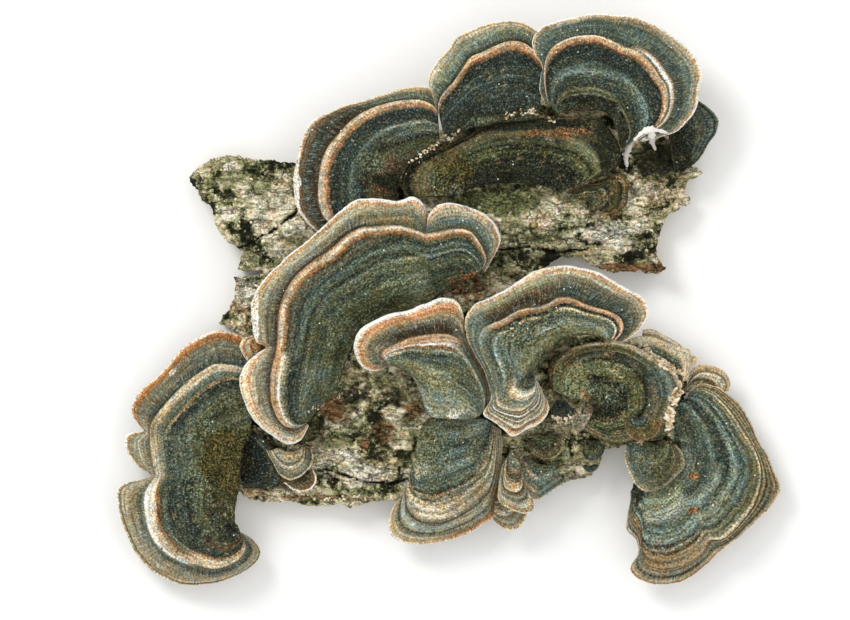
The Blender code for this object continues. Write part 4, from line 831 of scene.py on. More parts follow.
    stride = np.linalg.norm(np.diff(plan, axis=1), axis=2)
    reach = np.concatenate((np.zeros((wide, 1)), np.cumsum(stride, axis=1)), axis=1)
    hairy = np.interp(growth, (0, 0.9, 1.0, 1.1, 1.7, 1.9), (0.3, 0.3, 0.1, 1, 0.8, 0))
    flat = points[:, :2]
    spotty = rough(flat, 2.6, 2.6, seed + 4.0, 4)
    fields = {
        "growth": both(growth[None, :]),
        "ray": both(np.interp(across, knots, np.arange(len(knots)))[:, None]),
        "around": both(across[:, None]), "reach": both(reach),
        "ringed": both(np.interp(growth, (0, 1, 2), np.concatenate(([0], np.cumsum(spans))))[None, :]),
        "fuzz": both((fuzz * hairy)[None, :]),
        "upper": both(ease(away / 0.5)) * (np.arange(len(points)) < wide * tall),
        "under": both(ease((upper - lower - 1.0) / 5.0)) * (np.arange(len(points)) >= wide * tall),
    }
    for kind in PATCH_TONES:
        spots = [patch[1:] for patch in patches if patch[0] == kind]
        fields[kind] = patchy(flat, spots, spotty)
    for name, values in fields.items():
        mesh.attributes.new(name, "FLOAT", "POINT").data.foreach_set("value", values.astype(np.float32))
    rise = np.gradient(upper, axis=1)
    ahead = np.dstack((np.gradient(plan[..., 0], axis=1), np.gradient(plan[..., 1], axis=1), rise))
    ahead /= np.maximum(np.linalg.norm(ahead, axis=2), 1e-6)[..., None]
    ahead = np.dstack([both(ahead[..., axis]) for axis in range(3)])
    mesh.attributes.new("outward", "FLOAT_VECTOR", "POINT").data.foreach_set("vector", ahead.ravel())
    below = np.arange(len(faces)) >= upper_faces
    mesh.attributes.new("below", "BOOLEAN", "FACE").data.foreach_set("value", below)
    piece = add_object(node + "_skin", mesh)
    return piece


def bracket_tree():
    """Rings, radial ribs and the hair of a bracket, grown over its closed skin, with both its materials."""
    tree, given = new_group(
        "bracket_surface", ring_relief="Float", ring_count="Float", rib_relief="Float", rib_spacing="Float",
        foot_relief="Float", foot_grain="Float", hair_length="Float", hair_radius="Float",
        hair_density="Float", seed="Int", skin="Material", pore_layer="Material",
    )
    normal = add_node(tree, "GeometryNodeInputNormal").outputs["Normal"]
    place = add_node(tree, "GeometryNodeInputPosition").outputs["Position"]
    ring_at = calc(given_weight(tree, "growth"), given["ring_count"])
    links = {"Vector": place, "W": ring_at, "Scale": 14.0, "Detail": 2.0}
    rings = add_node(tree, "ShaderNodeTexNoise", links, noise_dimensions="4D").outputs["Fac"]
    rib_at = calc(given_weight(tree, "around"), given["rib_spacing"], "DIVIDE")
    links = {"X": rib_at, "Y": calc(given_weight(tree, "reach"), 0.12)}
    ribs = grain(add_node(tree, "ShaderNodeCombineXYZ", links).outputs[0], 1.0)
    ring_rise = calc(calc(rings, 0.5, "SUBTRACT"), given["ring_relief"])
    rib_rise = calc(calc(ribs, 0.5, "SUBTRACT"), given["rib_relief"])
    knots = calc(grain(place, given["foot_grain"], 4.0), 0.5, "SUBTRACT")
    foot_rise = calc(knots, calc(given_weight(tree, "under"), given["foot_relief"]))
    upper = given_weight(tree, "upper")
    rise = calc(calc(calc(ring_rise, rib_rise, "ADD"), upper), foot_rise, "ADD")
    offset = add_node(tree, "ShaderNodeVectorMath", {0: normal, "Scale": rise}, operation="SCALE").outputs[0]
    links = {"Geometry": given["Geometry"], "Offset": offset}
    body = add_node(tree, "GeometryNodeSetPosition", links).outputs[0]
    density = calc(calc(given_weight(tree, "fuzz"), upper), given["hair_density"])
    links = {"Mesh": body, "Density": density, "Seed": given["seed"]}
    roots = add_node(tree, "GeometryNodeDistributePointsOnFaces", links).outputs["Points"]
    hair = add_node(tree, "GeometryNodeMeshCone", {
        "Vertices": 3, "Radius Top": 0.0, "Radius Bottom": given["hair_radius"],
        "Depth": given["hair_length"],
    }).outputs["Mesh"]
    stray = random_vector(given["seed"], (-0.2, -0.2, 0.0), (0.2, 0.2, 0.26))
    links = {0: given_weight(tree, "outward", "FLOAT_VECTOR"), 1: stray}
    lean = add_node(tree, "ShaderNodeVectorMath", links, operation="ADD").outputs[0]
    turned = add_node(tree, "FunctionNodeAlignRotationToVector", {"Vector": lean}, axis="Z").outputs[0]
    hairs = strewn(roots, hair, turned, random_value(given["seed"], 0.5, 1.2))
    joined = add_node(tree, "GeometryNodeJoinGeometry", {"Geometry": body})
    tree.links.new(hairs, joined.inputs["Geometry"])
    skinned = in_material(realized(joined.outputs[0]), given["skin"])
    pored = in_material(skinned, given["pore_layer"], Selection=given_weight(tree, "below", "BOOLEAN"))
    add_node(tree, "NodeGroupOutput", {"Geometry": pored})
    return tree


def pore_layer():
    """Pore layer: tube mouths on the underside, cream near the rim, darker brown and rough towards the foot.
    """
    material, shader, place = new_material("cream_pore_layer", 0.85)
    growth = painted(material.node_tree, "growth")
    # Real pores are 0.2 to 0.3 mm apart; they are drawn at 0.5 mm so that they still show
    pores = add_node(material.node_tree, "ShaderNodeTexVoronoi", {"Vector": place, "Scale": 2000.0})
    fresh = calc(grain(place, 160.0, 7.0, 0.7), 1.1, "MULTIPLY_ADD", growth)
    flesh = ramp(spread(fresh, 0.3, 1.7), "5 #1d190f 16 #3a3420 24 #6a6242 32 #a08f68 55 #d3c5a5 90 #ece3d0")
    mouth = spread(pores.outputs["Distance"], 0.12, 0.42, spread(growth, 0.0, 0.3, 1.0, 0.42))
    shade = calc(mouth, spread(grain(place, 1100.0, 4.0, 0.8), 0.36, 0.64, 0.6, 1.35))
    coat(shader, over(1.0, flesh, shade, "MULTIPLY"), shade, 0.9, 0.0005)
    return material


def zoned_velvet(name, sectors, mottle, mottle_share, wear):
    """Bracket velvet: short matted hairs in rings of one tone each, soft and frayed outwards."""
    material, shader, place = new_material(name, 0.88)
    tree = material.node_tree
    growth = painted(tree, "growth")
    around = painted(tree, "around")
    flow = add_node(tree, "ShaderNodeCombineXYZ", {"X": around, "Y": painted(tree, "reach")}).outputs[0]
    ringed = add_node(tree, "ShaderNodeCombineXYZ", {"X": around, "Y": painted(tree, "ringed")}).outputs[0]

    def scaled(vector, across, along):
        links = {"Vector": vector, "Scale": (across, along, 1.0)}
        return add_node(tree, "ShaderNodeMapping", links).outputs[0]

    ringed = scaled(ringed, 0.03, 0.62)
    fibre = grain(scaled(flow, 1 / 0.4, 1 / 4.0), 1.0, 5.0, 0.66)
    tuft = grain(scaled(flow, 1 / 1.5, 1 / 12.0), 1.0, 4.0, 0.6)
    ring = grain(ringed, 1.0, 4.0, 0.6)
    fine_ring = grain(scaled(ringed, 2.2, 2.9), 1.0, 3.0, 0.6)
    worn = grain(place, 230.0, 6.0, 0.72)
    broad = grain(place, 60.0, 3.0, 0.5)
    blotch = grain(place, 420.0, 8.0, 0.72)
    speck = grain(place, 1500.0, 3.0, 0.75)
    grit = grain(place, 1500.0, 3.0, 0.8)
    wander = growth
    for texture, share in ((fibre, 0.08), (broad, 0.1), (worn, 0.35 * wear), (tuft, 0.05), (grit, 0.03)):
        wander = calc(texture, share, "MULTIPLY_ADD", wander)
    middle = 0.13 + 0.175 * wear
    along = spread(wander, middle, middle + 2.0)
    colour = ramp(along, sectors[0][1], 200.0)
    for start, written in sectors[1:]:
        where = spread(calc(broad, 1.5, "MULTIPLY_ADD", painted(tree, "ray")), start - 0.1, start + 1.6)
        colour = over(where, colour, ramp(along, written, 200.0))
    crest = calc(spread(growth, 0.84, 0.9), spread(growth, 1.07, 1.02))
    colour = over(calc(crest, spread(worn, 0.42, 0.6, 0.0, 0.55)), colour, "grey_brown")
    algae = calc(spread(blotch, 0.47, 0.62, 0.0, mottle_share), spread(growth, 1.05, 0.75))
    colour = over(algae, colour, mottle)
    dust = calc(spread(grit, 0.54, 0.66, 0.0, 0.2), spread(growth, 1.1, 0.8, 0.5, 1.0))
    colour = over(dust, colour, "grey_light")
    if wear:
        bare = spread(speck, 0.4, 0.6)
        colour = over(spread(worn, 0.53, 0.6, 0.0, wear), colour, over(bare, "umber", "tan"))
        colour = over(spread(worn, 0.46, 0.39, 0.0, wear), colour, over(bare, "black", "olive"))
    # Pale blue white streaks along the hairs of the outer band: their pale colour with a painted sheen
    outer_band = calc(spread(growth, 1.06, 1.2), spread(growth, 1.8, 1.5))
    colour = over(calc(spread(fibre, 0.5, 0.6, 0.0, max(0.38 - wear, 0.0)), outer_band), colour, "blue_light")
    fleck = calc(spread(speck, 0.65, 0.71, 0.0, 0.45), spread(blotch, 0.42, 0.56))
    colour = over(fleck, colour, "grey_light")
    # Patches of each kind: some pale ones are painted highlights on lit rims, some dark ones painted shade
    # where brackets meet
    for kind, (deep, light) in PATCH_TONES.items():
        where = calc(painted(tree, kind), 0.45, "MULTIPLY_ADD", blotch)
        colour = over(spread(where, 0.6, 0.8), colour, over(spread(speck, 0.35, 0.65), deep, light))
    hues = grain(place, 800.0, 4.0, 0.8, "Color")
    drift = grain(place, 260.0, 6.0, 0.7)
    shade = calc(calc(fibre, 0.5, "SUBTRACT"), spread(growth, 0.9, 1.15, 0.6, 2.0), "MULTIPLY_ADD", 1.0)
    shade = calc(shade, spread(speck, 0.35, 0.65, 0.75, 1.25))
    for tint in (
        tinted(hues, 0.35, 0.65, (0.92,) * 3, (1.08,) * 3),
        tinted(drift, 0.4, 0.6, (1.12, 1.02, 0.86), (0.88, 0.98, 1.08)),
        shade,
    ):
        colour = over(1.0, colour, tint, "MULTIPLY")
    # Painted light and shade in the hair: tips painted cool and pale where light falls through them, the gaps
    # between them painted brown as shade
    lit_tips_and_shaded_gaps = over(1.0, colour, tinted(grit, 0.38, 0.62, (0.5, 0.47, 0.39), (1.46, 1.49, 1.55)), "MULTIPLY")
    colour = over(spread(growth, 0.84, 0.9, 1.0, 0.55), colour, lit_tips_and_shaded_gaps)
    for tint in (
        tinted(ring, 0.3, 0.7, (0.64, 0.61, 0.5), (1.36, 1.39, 1.48)),
        tinted(fine_ring, 0.32, 0.68, (0.68, 0.65, 0.56), (1.32, 1.35, 1.42)),
    ):
        colour = over(1.0, colour, tint, "MULTIPLY")
    colour = add_node(tree, "ShaderNodeGamma", {"Color": colour, "Gamma": 1.12}).outputs[0]
    links = {0: 1.0, 6: colour, 7: (1.2, 1.24, 1.26, 1.0)}
    lift = add_node(tree, "ShaderNodeMix", links, data_type="RGBA", blend_type="MULTIPLY", clamp_result=True)
    spores = add_node(tree, "ShaderNodeTexVoronoi", {"Vector": place, "Scale": 420.0})
    chosen = add_node(tree, "ShaderNodeSeparateColor", {"Color": spores.outputs["Color"]}).outputs[0]
    dot = calc(spread(spores.outputs["Distance"], 0.13, 0.08), calc(chosen, 0.86, "GREATER_THAN"))
    relief = calc(fibre, 0.7, "MULTIPLY_ADD", calc(grit, 0.5, "MULTIPLY_ADD", calc(fine_ring, 0.8)))
    coat(shader, over(dot, lift.outputs[2], "white"), relief, 1.0, 0.0006)
    shader.inputs["Specular IOR Level"].default_value = 0.15
    shader.inputs["Sheen Weight"].default_value = 0.02
    return material


surface = bracket_tree()
pores = pore_layer()


def bracket(node, rows, rays, sectors, mottle="moss", mottle_share=0.6, wear=0.0, fuzz=1.0,
            patches=(), tuck=0.0):
    """One bracket from its rays, which are the base, ridge and margin point of each in millimetres.

    Each sector gives the ray where it starts and its rings, a percentage and a tone each. 0 is the base, 100
    the ridge and 200 the margin. Each patch is a kind of PATCH_TONES, then as on the bark x, y, half width,
    half height and strength.
    """
    piece = grow_bracket(node, rows, rays, fuzz, patches, tuck)
    skin = zoned_velvet(node + "_velvet", sectors, mottle, mottle_share, wear)
    grow(
        piece, surface, ring_relief=0.00045, ring_count=3.2, rib_relief=0.00018, rib_spacing=1.1,
        foot_relief=0.0022, foot_grain=260.0, hair_length=0.0009, hair_radius=0.00005, hair_density=2.6e6,
        seed=sum(map(ord, node)), skin=skin, pore_layer=pores,
    )
    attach(piece, "root")
    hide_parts(node)
    return piece


bracket("cap_back_right", SMALL_ROWS, [
    (74, 58, 80, 63.5, 83, 66.8), (74, 56, 82.5, 62, 87, 64), (74, 54, 84, 59, 89.9, 60.3),
    (74.5, 50, 84.5, 55.5, 89.5, 56.3), (75, 47, 83, 51, 86.3, 51.6),
    (75.3, 44.5, 81, 47.5, 83.2, 46.6), (75.5, 42, 78.5, 44.5, 80.5, 44.3),
], [
    (0, "0 teal_deep 70 teal 85 slate 95 teal 115 slate 135 teal 160 slate 180 teal_deep 195 grey_green "
        "200 taupe"),
# Its dark patch is painted shade over the foot, where it meets the bark
], fuzz=0.5, patches=[("dark", 76.0, 47.0, 4, 8, 2.0)])
bracket("cap_right_under", SMALL_ROWS, [
    (63, -17, 64.5, -11.8, 64.8, -10), (65.5, -18, 67, -11.8, 67.3, -9.6),
    (68.5, -19.5, 71, -13.4, 72, -11.8), (71, -21, 75.2, -16.6, 77.6, -15.2),
    (73, -22.5, 77.8, -18.9, 80, -18), (74.5, -24, 80.2, -20, 83.4, -19.4),
    (75.5, -26, 79.6, -22.2, 82.2, -21.6),
], [
    (0, "0 olive 80 grey_brown 110 taupe 130 pinkish 160 cream 200 pinkish"),
], fuzz=0.6)
bracket("dark_cap_left", SMALL_ROWS, [
    (-69.5, -47.5, -66.5, -44.6, -64.8, -44), (-69.5, -48.7, -63.5, -47, -61, -46.8),
    (-69.5, -50, -60.5, -50.5, -57.8, -50.6), (-69.5, -51.5, -59, -54.5, -56.4, -54.8),
    (-69.5, -53, -58.5, -58, -55.6, -58.8), (-69.5, -54.5, -59.5, -60.4, -56.2, -61.8),
    (-69.5, -56, -62.5, -61.6, -60.8, -63), (-69.5, -57.5, -66, -62, -65.2, -62.9),
    (-69.5, -59, -69, -61.8, -68.8, -62.6),
], [
    (0, "0 umber 30 ink 60 teal_deep 95 teal 120 slate_dark 160 teal 190 umber 200 umber_light"),
], mottle="olive_dark", mottle_share=0.5, fuzz=0.3)


# The large bracket at the lower left, with three lobes. Its inner rings are matted olive velvet. A cream ring
# marks the winter it stopped, and the long haired grey brown band outside is the last year's growth.
bracket("cap_left_outer", WIDE_ROWS, [
    (-66.5, -45.5, -63, -24, -62.5, -14), (-67, -46.2, -68, -22.6, -67, -12.8),
    (-67.5, -46.9, -73, -21.6, -72, -11), (-67.9, -47.6, -78, -21.5, -77.5, -10.1),
    (-68.3, -48.3, -82, -23.6, -83.5, -12.2), (-68.6, -49, -86, -26.4, -89, -16),
    (-68.8, -49.7, -89.5, -29.5, -93.6, -21.3), (-69, -50.4, -92.5, -32.7, -98.5, -26.2),
    (-69.1, -51.1, -95.5, -36, -103.3, -30.5), (-69.2, -51.8, -98, -39.5, -106.5, -36.5),
    (-69.3, -52.5, -99.5, -42.5, -104, -41.6), (-69.3, -53.2, -99.6, -45, -102.3, -43.4),
    (-69.4, -53.9, -99.2, -48.5, -107.8, -45), (-69.4, -54.6, -98.7, -52, -107.9, -50.5),
    (-69.5, -55.3, -98.4, -55.5, -104, -55.6), (-69.5, -56, -98, -58.9, -99.6, -58.8),
    (-69.7, -57.4, -99.2, -61.6, -103, -59.9), (-70, -59.6, -100.1, -65.5, -110.4, -62.5),
    (-70.3, -62, -100, -70.5, -110.6, -70), (-70.7, -64.3, -98.9, -75.5, -108, -78),
    (-71, -66.5, -96.5, -80.5, -104.3, -85.2), (-71.3, -68.7, -92.5, -84.3, -98.5, -91.2),
    (-71.4, -70.7, -87.5, -86.8, -91, -94.9), (-71.5, -72.3, -82, -88.8, -83, -95.2),
    (-71.45, -73.5, -77, -89.3, -75, -93.7), (-71.3, -74.2, -72.5, -87.8, -69, -91),
    (-71.1, -74.6, -69.3, -85.3, -64.6, -87.8), (-70.9, -74.8, -68, -82.5, -63, -84.5),
    (-70.7, -74.9, -68.8, -80, -65.8, -79.9), (-70.5, -74.9, -69.6, -77.4, -68.6, -78.2),
], [
    (0, "0 olive_dark 20 olive 27 olive_dark 30 grey_green 33 olive 48 olive_dark 60 olive 66 slate "
        "72 teal 79 teal 81 tan 84 slate 90 grey_green 93 pinkish 99 cream 102 teal 110 slate_dark "
        "130 taupe_dark 150 grey_brown 165 grey_brown 180 rust 192 orange 198 cream 200 white"),
    (9.5, "0 bog 25 bog 33 ink 38 olive 48 olive 60 slate 70 slate 80 slate_dark 86 grey_green "
          "92 taupe_light 100 pinkish 108 taupe_dark 130 taupe 150 taupe_light 170 taupe 190 tan "
          "200 white"),
    (15.5, "0 bog 20 bog 32 ink 42 olive 52 olive_dark 56 teal 66 slate_dark 75 teal 84 slate "
           "87 umber_light 91 rust 94 cream 110 white 116 taupe 122 slate 145 taupe "
           "160 taupe 180 taupe_light 188 umber_light 195 taupe_light 198 cream 200 white"),
    (22, "0 bog 20 ink 45 olive_dark 60 umber_light 70 teal 78 slate_dark 82 rust 86 pinkish 100 cream "
         "106 taupe_dark 135 slate_dark 160 taupe 185 taupe_light 192 umber_light 200 cream"),
], mottle="olive_light", mottle_share=0.4, patches=[
    ("green", -82, -45, 6, 5, 0.5), ("green", -84, -60, 5, 8, 0.4), ("brown", -72.5, -53, 9, 9, 1.5),
    ("dark", -68, -54, 3, 6, 0.7), ("pale", -92, -24, 1.5, 1.5, 0.4),
])


# The fan shaped bracket at the bottom, which hangs over the edge of the bark. Green algae live in its matted
# middle, where rain stays longest.
bracket("cap_bottom", WIDE_ROWS, [
    (-9.9, -44.5, -14.6, -64.6, -16.6, -66.2), (-9.3, -43.9, -14.3, -67.6, -18.9, -69.9),
    (-8.9, -43.3, -13.8, -70.4, -20.1, -74), (-8.6, -42.7, -11.8, -72.6, -19.6, -78.2),
    (-7.8, -42.2, -8.7, -74, -15.5, -81), (-6.8, -41.7, -5, -74.4, -9, -81.8),
    (-5.4, -41.3, -1.5, -74, -3, -81.1), (-3.6, -41, 1.8, -72.6, 2.5, -79.5),
    (-1.4, -41, 5, -71, 7.5, -77.6), (1.2, -41, 8, -69, 11.5, -75),
    (3.8, -41, 10.5, -66.8, 14.4, -73.2), (6.4, -41, 13, -64, 15.8, -68),
    (9, -41, 14.8, -59, 17.2, -62), (11, -41, 15.6, -53, 17.6, -55),
    (12.5, -41, 15.9, -47, 17.8, -48.5), (13.7, -40.7, 15.8, -42.3, 17.2, -43),
], [
    (0, "0 olive 25 olive_light 40 olive 46 olive_light 52 grey_green 60 slate 68 slate 71 ink 73.5 tan "
        "77 slate_dark 80 pinkish 88 cream 90 taupe_dark 92 cream 98 taupe 101 ink 106 grey_brown "
        "130 grey_light 140 taupe 146 slate_dark 156 grey_brown 170 taupe_light 188 tan 196 cream "
        "200 white"),
    (6.5, "0 slate 12 grey_green 20 grey_green 30 slate_dark 38 blue 45 slate 52 blue_light "
          "58 slate_dark 66 grey_green 72 ink 75 taupe 79 slate_dark 84 pinkish 90 taupe_dark 93 pinkish "
          "101 teal 110 taupe 135 taupe_light 147 slate_dark 160 taupe 190 orange 196 apricot 200 cream"),
    (11, "0 slate 20 blue_light 30 slate 40 grey_green 48 slate_dark 56 blue 64 taupe_dark 70 pinkish "
         "76 slate_dark 84 taupe_light 90 grey_brown 97 cream 103 slate_dark 120 taupe_light "
         "135 taupe_dark 150 pinkish 162 grey_brown 180 taupe_light 192 tan 200 cream"),
], mottle="olive_light", mottle_share=0.5, tuck=1.6, patches=[
    ("green", -4, -50, 6, 9, 0.45), ("pale", -9, -56, 3, 4, 0.3),
])


# The big blue grey bracket at the lower right and the tan lobe behind it. Its skin has weathered: the cream
# ring is thin and the rim is torn into short points.
bracket("small_cap_right_top", SMALL_ROWS, [
    (78.5, -31.2, 79.8, -28.5, 80.2, -26.6), (79.3, -31, 82, -25.4, 81.2, -23.3),
    (80.1, -30.8, 85, -24, 84.6, -21.5), (80.9, -30.9, 88.5, -24.5, 88.4, -22.1),
    (81.6, -31.2, 91.5, -26.3, 92.4, -24.3), (82.2, -31.7, 92.6, -28.4, 94.2, -27.6),
    (82.7, -32.4, 92, -30.6, 93.6, -30.4),
], [
    (0, "0 taupe 30 cream 45 tan 55 olive 68 umber_light 78 pinkish 95 cream 105 umber_light 130 tan "
        "170 pinkish 190 tan 200 cream"),
], fuzz=0.6)
bracket("cap_right_large", WIDE_ROWS, [
    (72, -37.5, 79.5, -32.5, 80.3, -30.2), (72.2, -38.8, 84, -29.8, 84.5, -28),
    (72.4, -40, 88, -31.2, 89.8, -29.2), (72.6, -41.2, 91.5, -34.4, 94.5, -32.6),
    (72.8, -42.4, 95, -38.5, 98.6, -36.6), (73, -43.6, 98, -42.8, 101, -40.8),
    (73.1, -44.8, 100.5, -47, 103.2, -46.5), (73.2, -46, 102.6, -51.5, 106.6, -52),
    (73.2, -47.2, 103.8, -56, 108.8, -57.3), (73.2, -48.4, 103.9, -60, 110.8, -62.6),
    (73.1, -49.6, 103, -64.8, 109.2, -67), (73, -50.8, 101, -69.5, 105.2, -71.6),
    (72.8, -52, 98, -73.6, 101.3, -75.3), (72.5, -53.1, 94.5, -77.5, 96.5, -79.6),
    (72.1, -54.1, 90.5, -79.9, 92.3, -82.8), (71.6, -55, 87, -80.3, 90.2, -84.6),
    (71, -55.8, 85.6, -83.2, 87.3, -87.5), (70.3, -56.5, 82, -86.4, 83, -90.8),
    (69.5, -57.1, 77.5, -88.8, 77.5, -94.2), (68.6, -57.6, 72.5, -90, 72, -95.1),
    (67.7, -58, 68.4, -89.4, 66.8, -94.6), (66.8, -58.4, 66.4, -88.4, 62.2, -92.4),
    (65.9, -58.8, 65, -86.8, 60.6, -90), (65, -59.2, 64.4, -83.6, 63.2, -84.9),
    (64.2, -59.6, 63.7, -78.2, 62.6, -80.2), (63.4, -59.9, 61.2, -74, 59.6, -77),
    (62.7, -60.2, 60.9, -70, 59.6, -72), (62.1, -60.5, 61, -65.5, 60.6, -67),
    (61.6, -60.8, 61.3, -62.8, 60.8, -63.8),
], [
    (0, "0 umber_light 6 algae_light 12 olive_dark 18 grey_green 30 slate_dark 45 steel 49 sky "
        "53 slate_dark 66 teal 71 blue_light 77 steel 80 slate_dark 83 sky 86 slate 90 olive_dark "
        "93 olive_light 96 olive 98.5 cream 101 umber 110 olive 120 tan 128 umber 140 olive_light "
        "155 umber_light 170 tan 178 umber 190 taupe_light 200 cream"),
    (9.5, "0 umber_light 10 algae 20 grey_green 33 slate 42 slate_dark 52 blue_light 62 slate_dark "
          "70 blue_light 75 slate_dark 78 grey_green 82 blue 86 teal 89 olive_light 92 olive_dark "
          "96 olive_light 98.5 cream 101 umber 110 olive 122 tan 130 umber 145 grey_brown 160 umber "
          "180 taupe 193 tan 200 cream"),
    (15, "0 umber 15 grey_green 30 sage 45 grey_light 60 steel 74 blue_light 78 ink 81 taupe 84 umber "
         "88 tan 92 umber_light 97 tan 100 ink 104 tan 108 taupe_dark 130 taupe 138 grey_brown 150 umber "
         "165 taupe 180 taupe_light 193 rust 198 tan 200 cream"),
], mottle="sage", mottle_share=0.45, patches=[
    ("rust", 81.6, -58.7, 1.5, 0.9, 1.2), ("rust", 81.3, -70.3, 1.5, 0.9, 1.2),
    ("green", 64, -52, 5, 6, 0.8), ("dark", 66, -44, 6, 3, 0.7), ("dark", 63, -60, 3, 9, 0.7),
])


# The small brackets: two on the lower bark, three dark lobes at the right, the pale blue one, and two ringed
# ones beside the bottom bracket. Each is a thin shelf of the same flesh, fixed by a short foot.
bracket("small_cap_bark_b", SMALL_ROWS, [
    (-51, -57.5, -54, -59.8, -55.2, -60.8), (-50, -58, -52, -61.5, -52.5, -63.2),
    (-49, -58, -49, -62.3, -49, -64.2), (-48, -57.8, -46.5, -61.5, -45.8, -63),
    (-47.5, -57, -45.8, -59, -44.2, -59.3), (-47.5, -56.3, -46.5, -56.8, -45.2, -56.7),
], [
    (0, "0 umber 50 umber 80 umber_light 120 bark_brown 150 umber_light 170 tan 182 white 200 cream"),
], fuzz=0.4)
bracket("small_cap_bark_a", SMALL_ROWS, [
    (-57, -49.2, -59.5, -50.2, -61, -49.8), (-56, -49.6, -57.6, -53.8, -58.6, -54.5),
    (-54.8, -50, -55.5, -56, -56.5, -58.2), (-53.5, -50.2, -53, -56.8, -53, -60),
    (-52, -50.2, -50.5, -56, -49.5, -58.8), (-50.8, -50, -48.5, -53.8, -46.3, -55.8),
    (-50, -49.5, -48, -51.3, -45.3, -52.3), (-49.5, -48.8, -48, -49, -46, -49.6),
], [
    (0, "0 taupe 35 pinkish 60 taupe_light 67 taupe_dark 76 taupe 86 cream 96 pinkish 103 taupe_dark "
        "125 taupe 150 grey_brown 175 taupe_dark 190 taupe_light 200 cream"),
], fuzz=0.6)
bracket("small_cap_low_c", SMALL_ROWS, [
    (29, -44, 27, -46.5, 25.8, -47.5), (30.2, -44.6, 29, -49.5, 28.2, -51.8),
    (31.6, -44.8, 32.5, -50.8, 32.6, -53.2), (33, -44.5, 35.7, -49, 37, -51),
    (34, -43.8, 36.5, -45.3, 38.2, -45.2),
], [
    (0, "0 umber 40 olive 80 olive_dark 120 umber_light 170 olive 200 tan"),
], fuzz=0.3)
bracket("small_cap_low_a", SMALL_ROWS, [
    (46, -46.8, 45, -49.5, 44.4, -50.5), (46.8, -47, 46.2, -51.5, 45.8, -53.2),
    (47.8, -47, 48, -51.8, 48.3, -53.6), (48.8, -47, 50.2, -50.5, 51.2, -51.5),
    (49.5, -46.6, 51.2, -48.3, 52.4, -48.5),
], [
    (0, "0 olive_dark 50 teal 90 olive 130 teal 180 olive_dark 200 taupe_dark"),
], fuzz=0.3)
bracket("small_cap_low_b", SMALL_ROWS, [
    (45.9, -55, 45.2, -55, 44.6, -55.6), (46.7, -55.3, 46.3, -56.3, 46.2, -57.5),
    (47.6, -55.2, 48.1, -56.2, 48.7, -57.2), (48.2, -54.9, 49.3, -54.9, 50.3, -55.2),
], [
    (0, "0 teal_deep 50 teal 90 slate_dark 140 teal 180 slate 200 grey_green"),
], fuzz=0.3)
bracket("small_cap_blue", SMALL_ROWS, [
    (27, -53, 23.8, -55, 22.4, -55.2), (27.8, -53.5, 24, -58, 21.9, -58.8),
    (28.7, -54, 25, -61, 22.8, -62.6), (29.6, -54.5, 27.5, -63.5, 25.5, -65),
    (30.7, -54.8, 30, -64.5, 29, -66.7), (32, -55, 32.5, -62.8, 32.3, -65.2),
    (33.5, -55, 35, -61, 36, -62.8), (35, -54.5, 37.5, -59, 39.5, -61),
], [
    (0, "0 olive 35 slate 50 pinkish 62 slate 85 taupe 100 cream 115 taupe 140 pinkish 180 tan "
        "200 cream"),
    (3.5, "0 olive 30 slate 50 blue_light 65 blue 85 slate 100 blue_light 125 slate 160 blue "
          "185 grey_light 200 cream"),
], fuzz=0.5)
bracket("small_cap_bottom_a", SMALL_ROWS, [
    (15.5, -66.5, 14.9, -71, 14.7, -73.4), (16.5, -66.3, 16.5, -72.3, 16.6, -75.3),
    (17.5, -66, 19, -72.8, 19.5, -76.9), (18.5, -65.7, 21, -72.3, 22.8, -76.4),
    (19.5, -65.3, 22.5, -71, 25.1, -73.8), (20.3, -64.8, 23.5, -69.5, 26.2, -71.3),
], [
    (0, "0 umber_light 15 taupe 20 taupe_light 26 umber_light 60 taupe 80 taupe_light 100 umber_light "
        "125 taupe_light 150 taupe_dark 180 tan 200 cream"),
], fuzz=0.6)
bracket("small_cap_bottom_b", SMALL_ROWS, [
    (21, -49.5, 18.9, -53, 17.8, -55), (21.4, -50.2, 18.2, -58, 16.5, -62),
    (21.8, -50.8, 18.5, -62, 16.8, -67.2), (22.3, -51.3, 20.5, -63.5, 21, -70),
    (22.8, -51.7, 22.5, -63.8, 25, -71.3), (23.2, -52.2, 23.9, -63, 28.2, -69.8),
    (23.5, -52.8, 24.4, -61.5, 28, -66.6), (23.7, -53.5, 24.2, -59, 25.6, -62.6),
], [
    (0, "0 grey_brown 20 taupe 30 grey_green 42 taupe 55 umber_light 66 slate 80 tan 92 pinkish "
        "100 cream 106 umber 130 taupe 145 taupe_dark 160 taupe_light 190 tan 200 cream"),
], fuzz=0.6)


